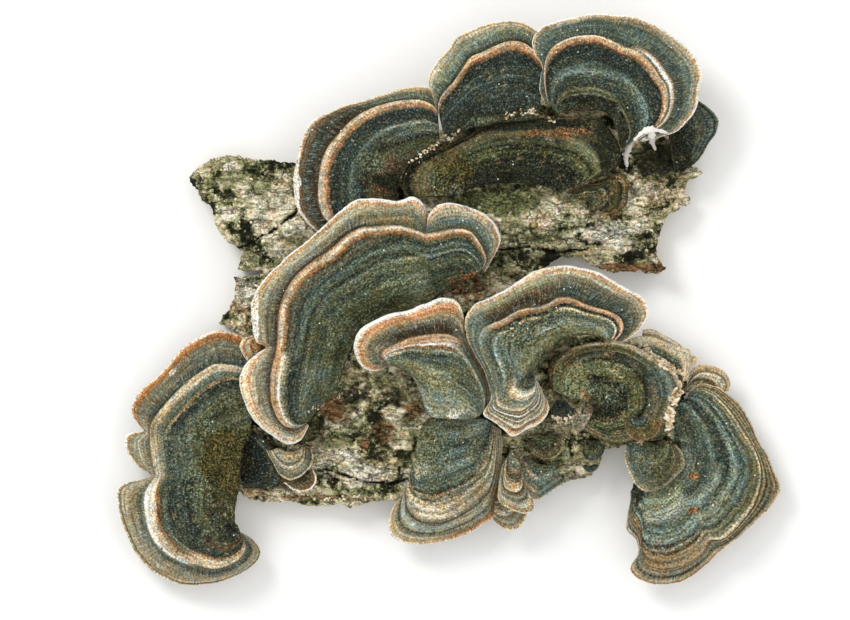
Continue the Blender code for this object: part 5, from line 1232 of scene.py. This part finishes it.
# Old brackets near the top, dead for a year or more. Algae have turned them olive, and their margins are
# black and crumbling.
bracket("old_cap_top_small", SMALL_ROWS, [
    (43.5, 33.5, 41, 35.3, 38.8, 35.8), (44.5, 33.5, 45.5, 37, 45.7, 38.6),
    (45.5, 33.3, 50, 37.4, 51.2, 39.4), (46.2, 32.9, 53, 38.8, 56.2, 42.6),
    (46.6, 32.3, 54.5, 37.6, 59.2, 41.6), (46.8, 31.6, 54.8, 35, 60, 36.5),
    (46.6, 30.8, 53.8, 32, 59, 31.5), (46, 30.2, 51, 29.6, 55, 28.6),
], [
    (0, "0 olive_dark 30 olive 42 bark_brown 55 olive_dark 68 olive_light 78 ink 90 teal_deep 105 bog "
        "130 bronze 150 ink 175 bark_brown 200 bog"),
], mottle="olive", wear=0.6, fuzz=0.4)
bracket("old_cap_top", WIDE_ROWS, [
    (5, 35, -6, 34.3, -14.5, 33.5), (5.5, 36, -7, 38.3, -15.8, 39.4), (6.5, 37, -6, 42.4, -13.8, 44.4),
    (8, 37.7, -2, 46, -8, 48), (10, 38.3, 3, 49, 0, 51.6), (13, 38.7, 9, 52, 7.6, 55.5),
    (16, 39, 15, 53.8, 13.5, 58.6), (20, 39, 21, 54.5, 20, 59.2), (24, 39, 28, 54.5, 27, 60.2),
    (27.5, 38.7, 34, 54, 35, 61), (30.5, 38.3, 38.8, 53, 43, 61.2), (33, 37.7, 44, 51.5, 51, 59.3),
    (34.7, 37, 48, 47.5, 56, 52.5), (35.7, 36.3, 50, 43.5, 57.2, 45.8),
    (36.3, 35.5, 46, 40, 51.6, 41.3),
], [
    (0, "0 black 15 teal_deep 30 ink 42 teal 50 ink 58 olive_dark 66 algae 70 olive_dark 76 algae "
        "80 black 86 algae 92 ink 98 algae 102 bog 115 bark_brown 130 algae 150 bark_brown 160 bog "
        "170 black 182 ink 192 bog 200 black"),
    (6, "0 black 20 black 40 teal_deep 48 ink 55 olive_dark 62 ink 68 algae 72 ink 76 olive_dark "
        "80 black 88 algae 93 ink 99 olive_dark 106 bark_brown 120 bark_brown 135 algae 145 teal "
        "160 black 180 ink 193 bark_brown 200 ink"),
    (10.5, "0 black 30 teal_deep 50 ink 62 olive_dark 72 algae 80 ink 90 algae 105 algae_light "
           "120 teal_deep 140 bog 160 ink 180 bog 195 olive_dark 200 ink"),
], mottle="algae", mottle_share=0.4, wear=0.22, fuzz=0.45, patches=[
    ("green", 0, 36, 6, 3, 0.4), ("dark", 16, 59, 26, 2.2, 0.9), ("dark", 52, 52, 3, 9, 0.9),
    ("dark", 57, 40, 3, 8, 0.8), ("rust", 2, 46, 4, 2, 0.5), ("rust", 37, 56, 12, 2, 0.5),
    ("dark", 22, 41, 15, 5, 0.7), ("brown", 2, 44, 8, 6, 0.6),
])


# The three big brackets along the top edge, this year's growth. Each has slate velvet inside, an orange and
# cream winter ring, and a wide striated outer band that ends in a thin pale rim.
bracket("cap_top_left", WIDE_ROWS, [
    (-17, 33, -36, 24, -41, 20), (-17.3, 34, -41, 27, -47, 25.5), (-17.5, 35, -43, 32, -50.5, 30.5),
    (-17.5, 36.2, -43.1, 38.2, -51.8, 36.5), (-17.5, 37.5, -42.5, 44.5, -51.2, 44),
    (-17, 39, -40.2, 50.7, -49.2, 53), (-16.5, 40.5, -36.7, 54.7, -46.3, 59),
    (-16, 41.7, -33.5, 58.5, -41.8, 61.8), (-15.5, 42.8, -29.1, 62, -36.2, 64.4),
    (-14.8, 44, -24.5, 64.2, -29.5, 66.3), (-13.5, 45.2, -19.5, 65.6, -22, 68.6),
    (-11.5, 46.6, -14, 66.5, -15.2, 70.6), (-9, 48, -9, 66.3, -9.8, 71.1),
    (-6, 49.4, -5.6, 64.8, -6.2, 70.3), (-3, 50.5, -3.7, 62.8, -4.8, 66.5),
], [
    (0, "0 umber 25 umber_light 34 olive 42 ink 47 slate_dark 58 slate 62 blue 65 slate_dark "
        "72 slate_dark 86 teal 89 orange 92 apricot 98 cream 101 tan 104 umber 112 umber 130 umber "
        "150 slate_dark 168 umber_light 182 taupe_dark 190 apricot 196 white 200 white"),
    (8.5, "0 umber 25 olive 36 ink 46 grey_green 58 slate 62 grey_light 66 slate_dark 84 teal 88 slate "
          "91 orange 95 apricot 99 cream 103 umber 112 olive_dark 135 grey_green 155 olive 170 taupe "
          "186 tan 195 cream 200 white"),
], mottle="slate_dark", mottle_share=0.5, patches=[
    # The pale patch widens the white rim on the lit left edge: partly its pale margin, partly a painted
    # highlight
    ("dark", -17, 40, 8, 3, 1.0), ("pale", -51.3, 36, 1.4, 9, 2.0), ("rust", -23, 40, 5, 4, 0.35),
    ("green", -26, 46, 4, 4, 0.5),
])
bracket("cap_top_middle", WIDE_ROWS, [
    (-1, 52, -3.4, 61.5, -4.6, 64.5), (0, 53, -3.6, 65, -5.7, 68.5), (1, 54, -2.5, 67.8, -6.8, 72),
    (2.5, 55, -0.3, 70.5, -6, 76), (4.5, 56, 2, 73.3, -3.6, 79.8), (6.5, 57, 4.3, 76.6, -0.5, 83.2),
    (9, 57.8, 7, 80.4, 2.4, 87.3), (11.5, 58.4, 11, 82.3, 8, 90.2), (14.5, 58.9, 15, 84.2, 13.5, 92.1),
    (18, 59.4, 19.5, 85.8, 19.5, 92.7), (22, 59.8, 24, 85.5, 25, 92), (26, 60.2, 27.5, 83.5, 29, 89.6),
    (30, 60.5, 31.5, 79, 33, 86),
], [
    (0, "0 olive_dark 25 teal 42 slate_dark 50 teal 56 steel 60 slate_dark 68 slate_dark 72 teal "
        "84 teal_deep 87 umber_light 91 orange 95 apricot 99 cream 102 umber 108 olive_dark 120 slate "
        "140 grey_green 155 sage 170 taupe 184 taupe_light 193 tan 198 cream 200 white"),
], mottle="slate", mottle_share=0.5, patches=[("green", 12, 58, 6, 4, 0.5)])
bracket("cap_top_right", WIDE_ROWS, [
    (36, 62, 33, 65, 31.8, 65), (37, 62.5, 32, 69.5, 30.3, 69), (38, 63, 31.5, 74.5, 30.2, 73.8),
    (39, 63.2, 31.8, 78.3, 30.9, 77.8), (40, 63.4, 32.6, 80.5, 28.2, 81.8),
    (41.2, 63.5, 34, 82.8, 27.7, 86), (42.5, 63.6, 36.5, 84.8, 30.2, 90.2),
    (44, 63.6, 40.5, 86.5, 36, 92.8), (45.5, 63.6, 45, 87.2, 43.3, 94.4),
    (47.5, 63.5, 49.2, 87.1, 50.5, 95.2), (49.5, 63.4, 53, 85.6, 57.6, 94.6),
    (51, 63.2, 57.5, 83.3, 64, 93.5), (52.5, 62.7, 62.5, 82, 71, 90.2),
    (53.6, 61.8, 66.5, 78.7, 77.5, 85.2), (54.6, 60.3, 69.3, 74.8, 82.3, 80.3),
    (55.3, 58.6, 71.7, 71.2, 84.4, 75), (56, 57, 72.6, 67.5, 83.2, 70),
    (56.5, 55.8, 72.5, 64.5, 82.8, 66), (57, 54.6, 71.5, 61, 80, 60.3),
    (57.3, 53.4, 69.5, 58.3, 76, 56.2), (57.5, 52, 66, 56, 70.5, 54.2),
    (57.5, 50.5, 62, 53.2, 64.6, 52.6),
], [
    (0, "0 olive_dark 19 ink 21 olive_light 24 olive_dark 28 olive_light 32 olive_dark 38 slate_dark "
        "48 slate 54 sky 62 steel 67 slate_dark 78 teal 87 teal_deep 90 umber 93 orange 96 apricot "
        "100 cream 105 cream 107 umber_light 112 slate_dark 130 slate 150 steel 168 slate 178 taupe "
        "188 taupe_light 193 apricot 198 white 200 white"),
    (12, "0 olive_dark 20 ink 22 olive_light 26 olive_dark 35 slate_dark 50 slate 56 sky 64 slate_dark "
         "80 teal 88 teal_deep 91 orange 95 apricot 99 cream 103 umber 107 taupe 110 white 117 pinkish "
         "121 umber_light 130 slate_dark 150 slate 168 grey_green 180 taupe 190 tan 196 cream 200 white"),
], mottle="slate", mottle_share=0.45, patches=[
    ("green", 35, 62, 6, 4, 0.5), ("pale", 66, 52, 2.5, 2, 1.3), ("dark", 60, 48, 5, 3, 0.8),
])


# Old brackets at the right, and a dark lobe in the gap beside them. The ringed olive one is the oldest and
# holds most algae. A crumbling cream edge runs between it and the tan one behind it.
bracket("old_cap_right_small", SMALL_ROWS, [
    (64.3, -46, 60.7, -48.2, 59.3, -48.5), (64.8, -46.5, 60.5, -52, 58.5, -52.8),
    (65.5, -46.9, 62, -56, 59.8, -57.2), (66.4, -47.2, 64, -59.5, 62, -61.5),
    (67.4, -47.4, 67, -61, 66, -63.8), (68.4, -47.4, 70, -60.5, 70.8, -62.8),
    (69.3, -47.2, 73, -58, 75.5, -59), (70, -46.9, 75, -54.5, 78.4, -55.2),
    (70.6, -46.5, 75, -51.2, 78, -51.3), (71, -46, 73.8, -48.2, 75.6, -48.2),
], [
    (0, "0 olive 40 slate 70 blue 100 slate 130 blue 170 taupe 200 pinkish"),
    (4, "0 olive_dark 30 olive 50 olive_light 70 olive_dark 95 olive 120 umber_light 160 olive 185 taupe "
        "200 pinkish"),
], mottle="olive", wear=0.3, fuzz=0.4, patches=[("pale", 62, -47, 2.5, 1.5, 0.5)])
bracket("cap_right_back", SMALL_ROWS, [
    (60.5, -19, 60.6, -15, 59.5, -13.2), (63, -19.8, 64, -14.2, 63.5, -12),
    (65.5, -20.8, 68, -14.8, 68, -12.2), (68, -22.2, 72, -16.3, 72.6, -13.8),
    (70, -23.8, 75.2, -18, 76.5, -15.7), (71.8, -25.6, 77.4, -19.6, 80.3, -16.9),
    (73.2, -27.4, 78, -21.7, 80.7, -20), (74.2, -29.2, 78.2, -24.2, 80.2, -24),
    (75, -31, 78, -27.2, 79.4, -26.8),
], [
    (0, "0 olive 25 pinkish 35 cream 55 white 62 ink 70 olive 88 grey_green 95 pinkish 120 cream "
        "150 pinkish 175 cream 193 tan 200 cream"),
], fuzz=0.6)
bracket("old_cap_right", WIDE_ROWS, [
    (46.5, -34, 37.5, -31.5, 33.6, -29.5), (46.6, -33.3, 37.8, -26.5, 32.9, -25),
    (46.8, -32.7, 39, -22.5, 33.6, -20.5), (47.1, -32.2, 42, -19.3, 38.3, -17),
    (47.5, -31.9, 46.5, -17.4, 45.3, -14.6), (47.9, -31.8, 52, -17, 52.3, -13.9),
    (48.3, -31.9, 57, -17.8, 59.8, -14.6), (48.7, -32.1, 62, -20, 66.5, -18),
    (49.1, -32.4, 66, -23.4, 72.5, -22), (49.4, -32.8, 68.5, -27.5, 76.3, -26.8),
    (49.6, -33.3, 69, -31.8, 77.6, -31.3), (49.7, -33.9, 68.5, -36, 75.2, -36.3),
    (49.7, -34.5, 66, -40, 73.8, -41.2), (49.6, -35.1, 63, -43, 71.5, -45.8),
    (49.4, -35.7, 58.5, -44.5, 62, -47.2), (49.1, -36.2, 54.5, -45, 55.6, -48.2),
    (48.7, -36.6, 50, -43.8, 50, -46.6), (48.2, -36.8, 45.8, -41.5, 44.6, -43.2),
], [
    (0, "0 tan 10 umber_light 30 tan 38 black 50 ink 56 algae 66 algae_light 74 algae 80 ink "
        "85 algae_light 93 slate_dark 100 bog 110 algae 130 umber_light 150 algae_light 170 bog "
        "185 umber_light 200 ink"),
    (3.5, "0 tan 8 bog 14 ink 30 teal_deep 44 ink 50 algae 58 olive_light 66 algae 77 olive_light "
          "81 black 86 slate_dark 95 teal 102 olive_dark 112 algae_light 130 algae 145 umber_light "
          "160 algae_light 175 cream 190 pinkish 200 cream"),
    (7.5, "0 bog 12 black 30 teal_deep 48 ink 56 algae 65 algae 76 olive 81 black 88 slate 98 teal "
          "105 slate_dark 120 blue 140 slate 160 blue_light 180 slate_dark 200 pinkish"),
    (10.5, "0 bog 12 black 30 teal_deep 48 ink 56 olive 68 algae 78 olive_dark 82 black 90 algae "
           "100 slate_dark 110 taupe 125 algae 140 umber_light 155 taupe 175 algae 190 olive_dark "
           "200 bog"),
], mottle="algae", mottle_share=0.5, wear=0.45, fuzz=0.4, patches=[
    ("pale", 39, -38, 5, 3, 0.6), ("rust", 41, -24, 4, 5, 0.5), ("green", 52, -31, 5, 4, 0.5),
    ("algae", 41, -28, 7, 7, 0.6), ("green", 39, -30, 5, 5, 0.5), ("dark", 46, -37, 4, 3, 0.8),
])
bracket("small_cap_right", SMALL_ROWS, [
    (61, -38.5, 59.5, -39.6, 58.6, -40), (61.6, -39, 60, -42.5, 59.3, -44.5),
    (62.3, -39.2, 62.5, -44, 62.5, -46.8), (63, -39.2, 65.5, -43.8, 66.8, -46),
    (63.6, -38.9, 67, -41.5, 70.3, -42.8), (64, -38.4, 67.5, -39, 71, -39.3),
], [
    (0, "0 slate_dark 30 slate 40 blue 52 slate 58 ink 66 bronze 95 bog 120 bronze 160 umber_light "
        "185 bark_brown 193 orange 200 taupe_dark"),
], mottle="slate_dark", mottle_share=0.4, wear=0.3, fuzz=0.4)
bracket("small_cap_gap", SMALL_ROWS, [
    (35.8, -33.2, 34.6, -35.2, 34, -36.2), (36.5, -33.5, 35.3, -37.6, 34.4, -39.2),
    (37.3, -33.6, 37.2, -38.8, 37, -41), (38.1, -33.5, 39.2, -37.8, 40.3, -39.4),
    (38.8, -33.2, 40.5, -35.5, 41.8, -36),
], [
    (0, "0 teal_deep 50 teal 90 teal 130 slate_dark 170 teal 200 olive_dark"),
], fuzz=0.3)


# The largest bracket, left of the middle, with the rusty lobe that filled its notch. It curves round its own
# foot, so its winter ring makes nearly half a circle.
bracket("small_cap_left", SMALL_ROWS, [
    (-62, -13.2, -64, -12.4, -65.2, -12), (-62.1, -14.3, -66.5, -13.2, -68.5, -12.8),
    (-62.2, -15.4, -67.5, -15.2, -69.8, -15.4), (-62.2, -16.5, -67, -17.2, -68.8, -18.3),
    (-62, -17.6, -65.4, -18.8, -67, -20.2),
], [
    (0, "0 umber 30 rust 50 tan 70 rust 90 cream 110 tan 130 rust 160 apricot 200 cream"),
], fuzz=0.7)
bracket("cap_left_large", WIDE_ROWS, [
    (-45.9, -39.6, -47.3, -40.8, -46.6, -41.8), (-45.2, -38.2, -50.5, -42.4, -49.8, -47.2),
    (-44, -36.6, -53.6, -42.2, -54, -47.9), (-42.4, -34.8, -56.4, -39.8, -59.3, -44.8),
    (-40.6, -33, -58.2, -35.8, -64.8, -40.3), (-38.8, -31, -58.9, -30.7, -68.2, -33.5),
    (-37.2, -28.6, -58.6, -24.9, -69.6, -26.5), (-36, -25.6, -57.9, -20.5, -67, -20.3),
    (-35.2, -22.6, -57.4, -17.5, -62.3, -16.8), (-34.4, -20.2, -57.2, -15.9, -60.6, -15.8),
    (-33.5, -18, -57, -14, -63.9, -14.1), (-32.2, -15.5, -56.8, -9.5, -65.3, -8.5),
    (-30.7, -13.2, -56.2, -3.7, -66, -3.2), (-29, -11.2, -54.5, 1.5, -63.9, 3),
    (-26.8, -9.4, -51.5, 6.8, -60.2, 8.4), (-24.2, -7.8, -47.7, 10.7, -54.7, 13.7),
    (-21.4, -6.4, -43.9, 13.6, -47.5, 19.6), (-18.4, -5.2, -39, 17.2, -42, 24.2),
    (-15.4, -4.2, -34.5, 20.8, -36.5, 29.4), (-12.6, -3.2, -29.5, 23.6, -30.4, 33.3),
    (-10, -2.2, -24, 24.1, -24, 33.9), (-7.8, -1.2, -18.9, 24.8, -17.5, 33),
    (-5.8, 0, -14, 24.2, -11.4, 34.1), (-4.2, 1.2, -10.3, 22.9, -8.1, 31),
    (-3, 2.3, -7.8, 22, -7.7, 23.6), (-1.9, 3.3, -5.5, 22.3, -6.9, 28),
    (-0.5, 4.3, -2, 22.9, -3.8, 31.6), (1, 5.1, 2, 23.6, 1.5, 32.2), (2.7, 5.8, 6.5, 23.1, 8.5, 30.3),
    (4.3, 6.4, 9.2, 20.5, 15.2, 25.5), (5.8, 6.9, 11.3, 16.8, 17.3, 20),
    (7.2, 7.3, 12.3, 13.4, 14.8, 14.2), (8.4, 7.7, 11, 10.4, 11.8, 9.2),
], [
    (0, "0 olive 30 slate 50 grey_green 60 slate_dark 74 teal 79 grey_brown 85 taupe_light 88 white "
        "91 pinkish 100 apricot 105 umber 120 taupe_dark 140 taupe 158 taupe_light 170 apricot 190 cream "
        "197 white 200 white"),
    (8, "0 olive 15 olive_dark 30 olive 45 slate_dark 52 olive 57 grey_green 61 ink 64.5 slate 70 steel "
        "76 slate_dark 82 taupe_dark 87 teal 89.5 rust 92 orange 95 cream 99 apricot 103 umber 110 umber "
        "120 taupe_dark 142 grey_brown 158 taupe_light 170 taupe_light 180 tan 192 apricot 196 white "
        "200 white"),
    (19.5, "0 olive 30 grey_green 50 olive 58 olive_light 62 ink 66 slate 74 blue 80 teal 88 olive_dark "
           "92 orange 97 cream 102 umber 110 olive 125 tan 140 olive_light 150 taupe 170 taupe_light "
           "185 apricot 195 white 200 white"),
    (22.5, "0 olive 30 slate_dark 46 olive 52 blue 57 ink 62 blue_light 67 slate_dark 73 blue 79 teal "
           "85 olive 90 orange 94 apricot 98 cream 102 umber 110 olive 118 slate 140 blue 155 taupe "
           "175 taupe_light 188 apricot 195 white 200 white"),
], mottle="moss", patches=[
    # The pale patch widens the white rim on the lit left edge as a painted highlight; the dark patch at -28,
    # -24 is painted shade under the margin of cap_centre_left
    ("pale", -64.8, -6, 1.3, 10, 2.0), ("green", -36, -8, 8, 8, 0.3), ("rust", 6, 2, 6, 6, 1.0),
    ("dark", -28, -24, 6, 4, 0.6), ("green", -20, 8, 7, 5, 0.5),
])


# The two brackets in the middle lie over all the others. Their margins turn up a little and their rims are
# the palest of the cluster, because they are the youngest.
bracket("cap_centre_left", WIDE_ROWS, [
    (-17.3, -22.5, -19.5, -21.6, -21.5, -22.7), (-16.3, -22.6, -21, -19.9, -25, -23.7),
    (-15.2, -23.2, -22.2, -18.6, -29, -22.2), (-13.7, -24.2, -21.5, -17.2, -31.5, -16.3),
    (-12, -26, -19, -15.6, -30.3, -11.1), (-10.4, -28.6, -16.2, -13.9, -26, -7.2),
    (-9.2, -31.7, -13.2, -12.6, -20, -4.8), (-8.4, -34.4, -9, -11.9, -13.5, -3.4),
    (-7.6, -37, -5.2, -11.5, -8, -1.2), (-5.6, -38.8, -1.8, -11.5, -2.6, 0.6),
    (-2.8, -39.2, 1.3, -12.2, 2.4, -0.5), (0, -39.4, 3.7, -13.4, 4.6, -4.2),
    (2.3, -39.5, 5.2, -15.2, 5.2, -11), (4.2, -39.6, 7.4, -18.6, 7.9, -17.4),
    (5.8, -39.6, 9.4, -22.6, 10.4, -22), (7.2, -39.5, 11.4, -27.6, 12.6, -27),
    (8.5, -39.2, 12.2, -33, 13.6, -33), (9.7, -38.7, 11.6, -37, 12.6, -37),
], [
    (0, "0 grey_green 25 grey_green 40 olive_light 58 sage 72 slate 78 grey_light 82 cream "
        "86 umber_light 90 white 93 apricot 100 apricot 106 taupe_dark 130 grey_brown 150 taupe_dark "
        "165 tan 180 orange 192 cream 200 white"),
    (4.5, "0 blue_light 15 grey_light 26 grey_green 35 olive_light 55 olive_light 65 slate 76 slate_dark "
          "80 grey_light 83 umber_light 86 rust 88.5 white 91 apricot 99 apricot 103 umber 125 umber "
          "145 taupe_dark 155 tan 172 orange 185 apricot 193 white 200 white"),
    (10.5, "0 grey_green 20 grey_light 30 sage 42 slate 47 grey_green 52 slate 62 olive 66 grey_green "
           "70 slate 80 grey_green 86 grey_light 90 slate_dark 100 slate 110 taupe 130 slate_dark "
           "150 pinkish 170 taupe 190 cream 200 white"),
], mottle="olive_light", mottle_share=0.5, patches=[("pale", 2, -38, 3, 2, 0.5)])
bracket("cap_centre_right", WIDE_ROWS, [
    (50, -12.2, 55, -13.4, 57.8, -13.9), (48.5, -11.8, 57, -11.3, 61, -11.8),
    (47, -11.6, 57.6, -8.2, 64.5, -8.2), (45.4, -11.5, 56.3, -5.8, 66.2, -4),
    (43.8, -11.6, 53, -3.9, 64.4, 0.5), (42.2, -11.8, 48.5, -2.7, 58.5, 4),
    (40.6, -12, 44.5, -1.4, 52, 8), (39.1, -12.3, 41, 0.2, 45.5, 10.4),
    (37.8, -12.7, 36.5, 0.6, 39.5, 11.3), (36.7, -13.2, 32.8, -1.4, 33, 11),
    (35.7, -13.8, 29, -2.8, 27.1, 8.9), (34.9, -14.5, 25, -3.2, 22.6, 6),
    (34.3, -15.2, 21.5, -4.5, 18.5, 3.4), (33.9, -15.9, 18, -6.5, 13.5, 0.8),
    (33.6, -16.6, 14.5, -8, 8.8, -1.3), (33.3, -17.3, 11.5, -9.4, 5.8, -4.4),
    (33, -18, 9.8, -12.8, 5.6, -11.4), (32.2, -19, 10.4, -17.4, 8.2, -17.6),
    (31.2, -20.1, 12.8, -22.2, 10.8, -22.2), (30.2, -21.2, 14.5, -27.2, 12.9, -27.2),
    (29.2, -22.3, 15.2, -32, 13.8, -33), (28.2, -23.3, 15.6, -35, 11.4, -37.8),
    (27.9, -24, 18.2, -36.5, 14.8, -40.5), (27.75, -24.5, 21.3, -37, 18.2, -43.1),
    (27.7, -24.9, 24, -36.8, 21.2, -45.3), (27.7, -25.2, 26.5, -35.3, 26, -42.9),
    (27.8, -25.4, 28.5, -33, 31.5, -39.6), (27.95, -25.5, 29, -30.5, 33.3, -36),
    (28.1, -25.5, 28.8, -28, 31, -30.6), (28.25, -25.4, 28.7, -26.3, 29.6, -27.2),
], [
    (0, "0 olive 20 olive_light 33 sage 38 grey_light 46 blue_light 50 grey_green 64 slate "
        "70 olive_light 75 cream 79 teal_deep 86 ink 89 orange 94 apricot 99 apricot 103 umber "
        "110 slate_dark 130 slate_dark 150 taupe_dark 162 grey_brown 178 taupe_light 188 apricot "
        "196 white 200 white"),
    (8.5, "0 olive 20 olive_light 34 olive 39 grey_light 47 blue_light 52 grey_green 66 slate_dark "
          "71 olive_light 75 cream 79 teal_deep 86 ink 89 orange 96 apricot 100 cream 104 umber "
          "125 umber 145 umber_light 160 olive_light 180 taupe_light 190 apricot 196 white 200 white"),
    (14.5, "0 olive_dark 30 olive_light 45 blue_light 55 slate 70 grey_green 78 blue_light 84 slate_dark "
           "92 grey_green 98 blue_light 104 slate 120 grey_green 135 slate 150 blue_light 160 slate "
           "180 grey_green 193 tan 200 cream"),
    (20, "0 slate_dark 25 slate 40 slate_dark 48 grey_light 58 cream 68 pinkish 75 slate 82 grey_light "
         "88 grey_brown 96 cream 100 taupe_dark 108 taupe_light 116 umber_light 122 white 126 taupe_dark "
         "136 olive_light 142 cream 146 taupe_dark 158 taupe_light 164 cream 168 grey_brown 182 apricot "
         "193 cream 200 white"),
], mottle="olive_light", mottle_share=0.5, patches=[
    ("green", 24, -12, 6, 5, 0.7), ("green", 34, -6, 6, 3, 0.6),
])


# Crumbs of dead margin. Where the old brackets' edges rot, the pale flesh breaks into crumbs that cling along
# the edge or drop on the bark below. They are the same flesh as the caps, dried and bleached.
CRUMB_ROWS = [
    ((64.0, -15.0), (68.0, -19.0), (73.0, -22.0), (77.5, -24.5), 0.95, 70),
    ((78.5, -26.5), (76.0, -31.0), (74.0, -35.5), (73.5, -40.0), (73.0, -46.0), 1.0, 90),
    ((-14.0, 45.0), (-8.0, 49.0), (-2.0, 53.0), (4.0, 56.5), 0.55, 60),
    ((18.0, 60.5), (24.0, 62.5), (30.0, 62.0), (36.0, 60.0), 0.5, 45),
    ((34.0, -38.5), (38.0, -40.5), (43.0, -38.0), 0.8, 30),
    ((-50.0, -64.5), (-44.0, -66.5), (-36.0, -66.5), (-28.0, -66.0), 0.6, 50),
    ((-46.0, -37.0), (-38.0, -33.0), (-30.0, -31.5), (-20.0, -33.0), 0.42, 60),
]


def rest_height(x, y):
    """Height of the finished pieces at a point seen from above, in millimetres."""
    best = 0.0
    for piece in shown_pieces():
        if piece.name.endswith("_skin") or piece.name == "bark":
            hit, where, _, _ = piece.ray_cast(Vector((x * MM, y * MM, 0.1)), Vector((0.0, 0.0, -1.0)))
            if hit:
                best = max(best, where.z / MM)
    return best


def dry_flesh():
    """Dry fungus flesh: pith like crumbs, cream where fresh broken and tan where they have weathered."""
    material, shader, place = new_material("dry_fungus_flesh", 0.9)
    tone = grain(place, 500.0, 5.0)
    coat(shader, ramp(tone, "36 #8a6f4a 50 #dcc7a0 62 #f6ecd8"), tone, 0.8, 0.0003)
    return material


def crumb_tree():
    """Crumbs strewn along a path: lumpy grains of mixed size, each turned its own way."""
    tree, given = new_group("crumb_row", crumb_size="Float", seed="Int", flesh="Material")
    crumb = add_node(tree, "GeometryNodeMeshIcoSphere", {"Radius": given["crumb_size"], "Subdivisions": 2})
    turn = random_vector(given["seed"], (0.0,) * 3, (math.tau,) * 3)
    size = random_vector(given["seed"], (0.35, 0.3, 0.25), (1.3, 1.0, 0.7))
    row = realized(strewn(given["Geometry"], crumb.outputs[0], turn, size))
    place = add_node(tree, "GeometryNodeInputPosition").outputs[0]
    normal = add_node(tree, "GeometryNodeInputNormal").outputs[0]
    swell = spread(grain(place, 1100.0), 0.3, 0.7, -0.0003, 0.0003)
    shift = add_node(tree, "ShaderNodeVectorMath", {0: normal, "Scale": swell}, operation="SCALE").outputs[0]
    lumpy = add_node(tree, "GeometryNodeSetPosition", {"Geometry": row, "Offset": shift}).outputs[0]
    add_node(tree, "NodeGroupOutput", {"Geometry": in_material(lumpy, given["flesh"])})
    return tree


crumb_rows = crumb_tree()
flesh = dry_flesh()
chance = np.random.default_rng(7)
for number, row in enumerate(CRUMB_ROWS):
    size, count = row[-2:]
    path = np.array(row[:-2])
    spots = curve_through(np.arange(len(path)), path, chance.uniform(0, len(path) - 1, count), False)
    spots = spots + chance.normal(0.0, 0.55 * size + 0.25, (count, 2))
    seeds = bpy.data.meshes.new("crumb_seeds")
    seeds.from_pydata([(x * MM, y * MM, (rest_height(x, y) + 0.05) * MM) for x, y in spots], [], [])
    crumbs = add_object("crumbs_%d" % (number + 1), seeds)
    grow(crumbs, crumb_rows, crumb_size=size * MM, seed=number + 3, flesh=flesh)
    crumbs.data.shade_smooth()
    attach(crumbs, "root")


# Torn flap at the right end of the top right bracket: a strip of its white under flesh that ripped away and
# hangs over the bark in two tongues.
FLAPS = [
    ((73.0, 55.4, 0.6), (69.5, 56.3, 1.0), (65.8, 56.4, 1.2), (62.6, 54.2, 0.45), (60.4, 51.4, 0.9),
     (59.1, 48.0, 1.35), (59.5, 44.3, 0.8)),
    ((66.8, 56.4, 1.0), (67.6, 53.6, 1.1), (69.0, 50.0, 0.6)),
]
FLAP_HALF_THICK = 0.5
FLAP_SIDES = 8
FLAP_STEPS = 9
flap_points, flap_faces = [], []
for flap in FLAPS:
    steps = FLAP_STEPS * len(flap)
    path = curve_through(np.arange(len(flap)), np.array(flap), np.linspace(0, len(flap) - 1, steps), False)
    along = np.gradient(path[:, :2], axis=0)
    along /= np.linalg.norm(along, axis=1)[:, None]
    heights = np.array([rest_height(x, y) for x, y, _ in path])
    heights = np.maximum(heights, np.convolve(np.pad(heights, 3, "edge"), np.ones(7) / 7, "valid"))
    start = len(flap_points)
    for step, ((x, y, half), (dx, dy), z) in enumerate(zip(path, along, heights)):
        ragged = half * (1.0 + 0.8 * noise.fractal(Vector((step * 0.35, x, 0.0)), 1.0, 2.0, 3))
        taper = math.sin(math.pi * (step + 1.2) / (steps + 1.4)) ** 0.3
        for side in range(FLAP_SIDES):
            angle = math.tau * side / FLAP_SIDES
            across = max(ragged, 0.25) * taper * math.cos(angle)
            up = FLAP_HALF_THICK * taper * (1.0 + math.sin(angle))
            flap_points.append(((x - dy * across) * MM, (y + dx * across) * MM, (z + up) * MM))
    for step in range(steps - 1):
        for side in range(FLAP_SIDES):
            here, there = start + step * FLAP_SIDES, start + (step + 1) * FLAP_SIDES
            after = (side + 1) % FLAP_SIDES
            flap_faces.append((here + side, here + after, there + after, there + side))
    flap_faces.append(tuple(range(start + FLAP_SIDES - 1, start - 1, -1)))
    flap_faces.append(tuple(range(start + (steps - 1) * FLAP_SIDES, start + steps * FLAP_SIDES)))


def torn_flesh():
    """Torn white flesh: dry felted threads, nearly white, with soft grey painted as shade in the hollows of
    the felt.
    """
    material, shader, place = new_material("torn_white_flesh", 0.9)
    felt = grain(place, 1400.0, 5.0)
    coat(shader, over(felt, "#d9cdb9", "#ffffff"), felt, 0.8, 0.0003)
    return material


flap_mesh = bpy.data.meshes.new("torn_flap")
flap_mesh.from_pydata(flap_points, [], flap_faces)
flap_mesh.shade_smooth()
flap_mesh.materials.append(torn_flesh())
torn_flap = add_object("torn_flap", flap_mesh)
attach(torn_flap, "root")
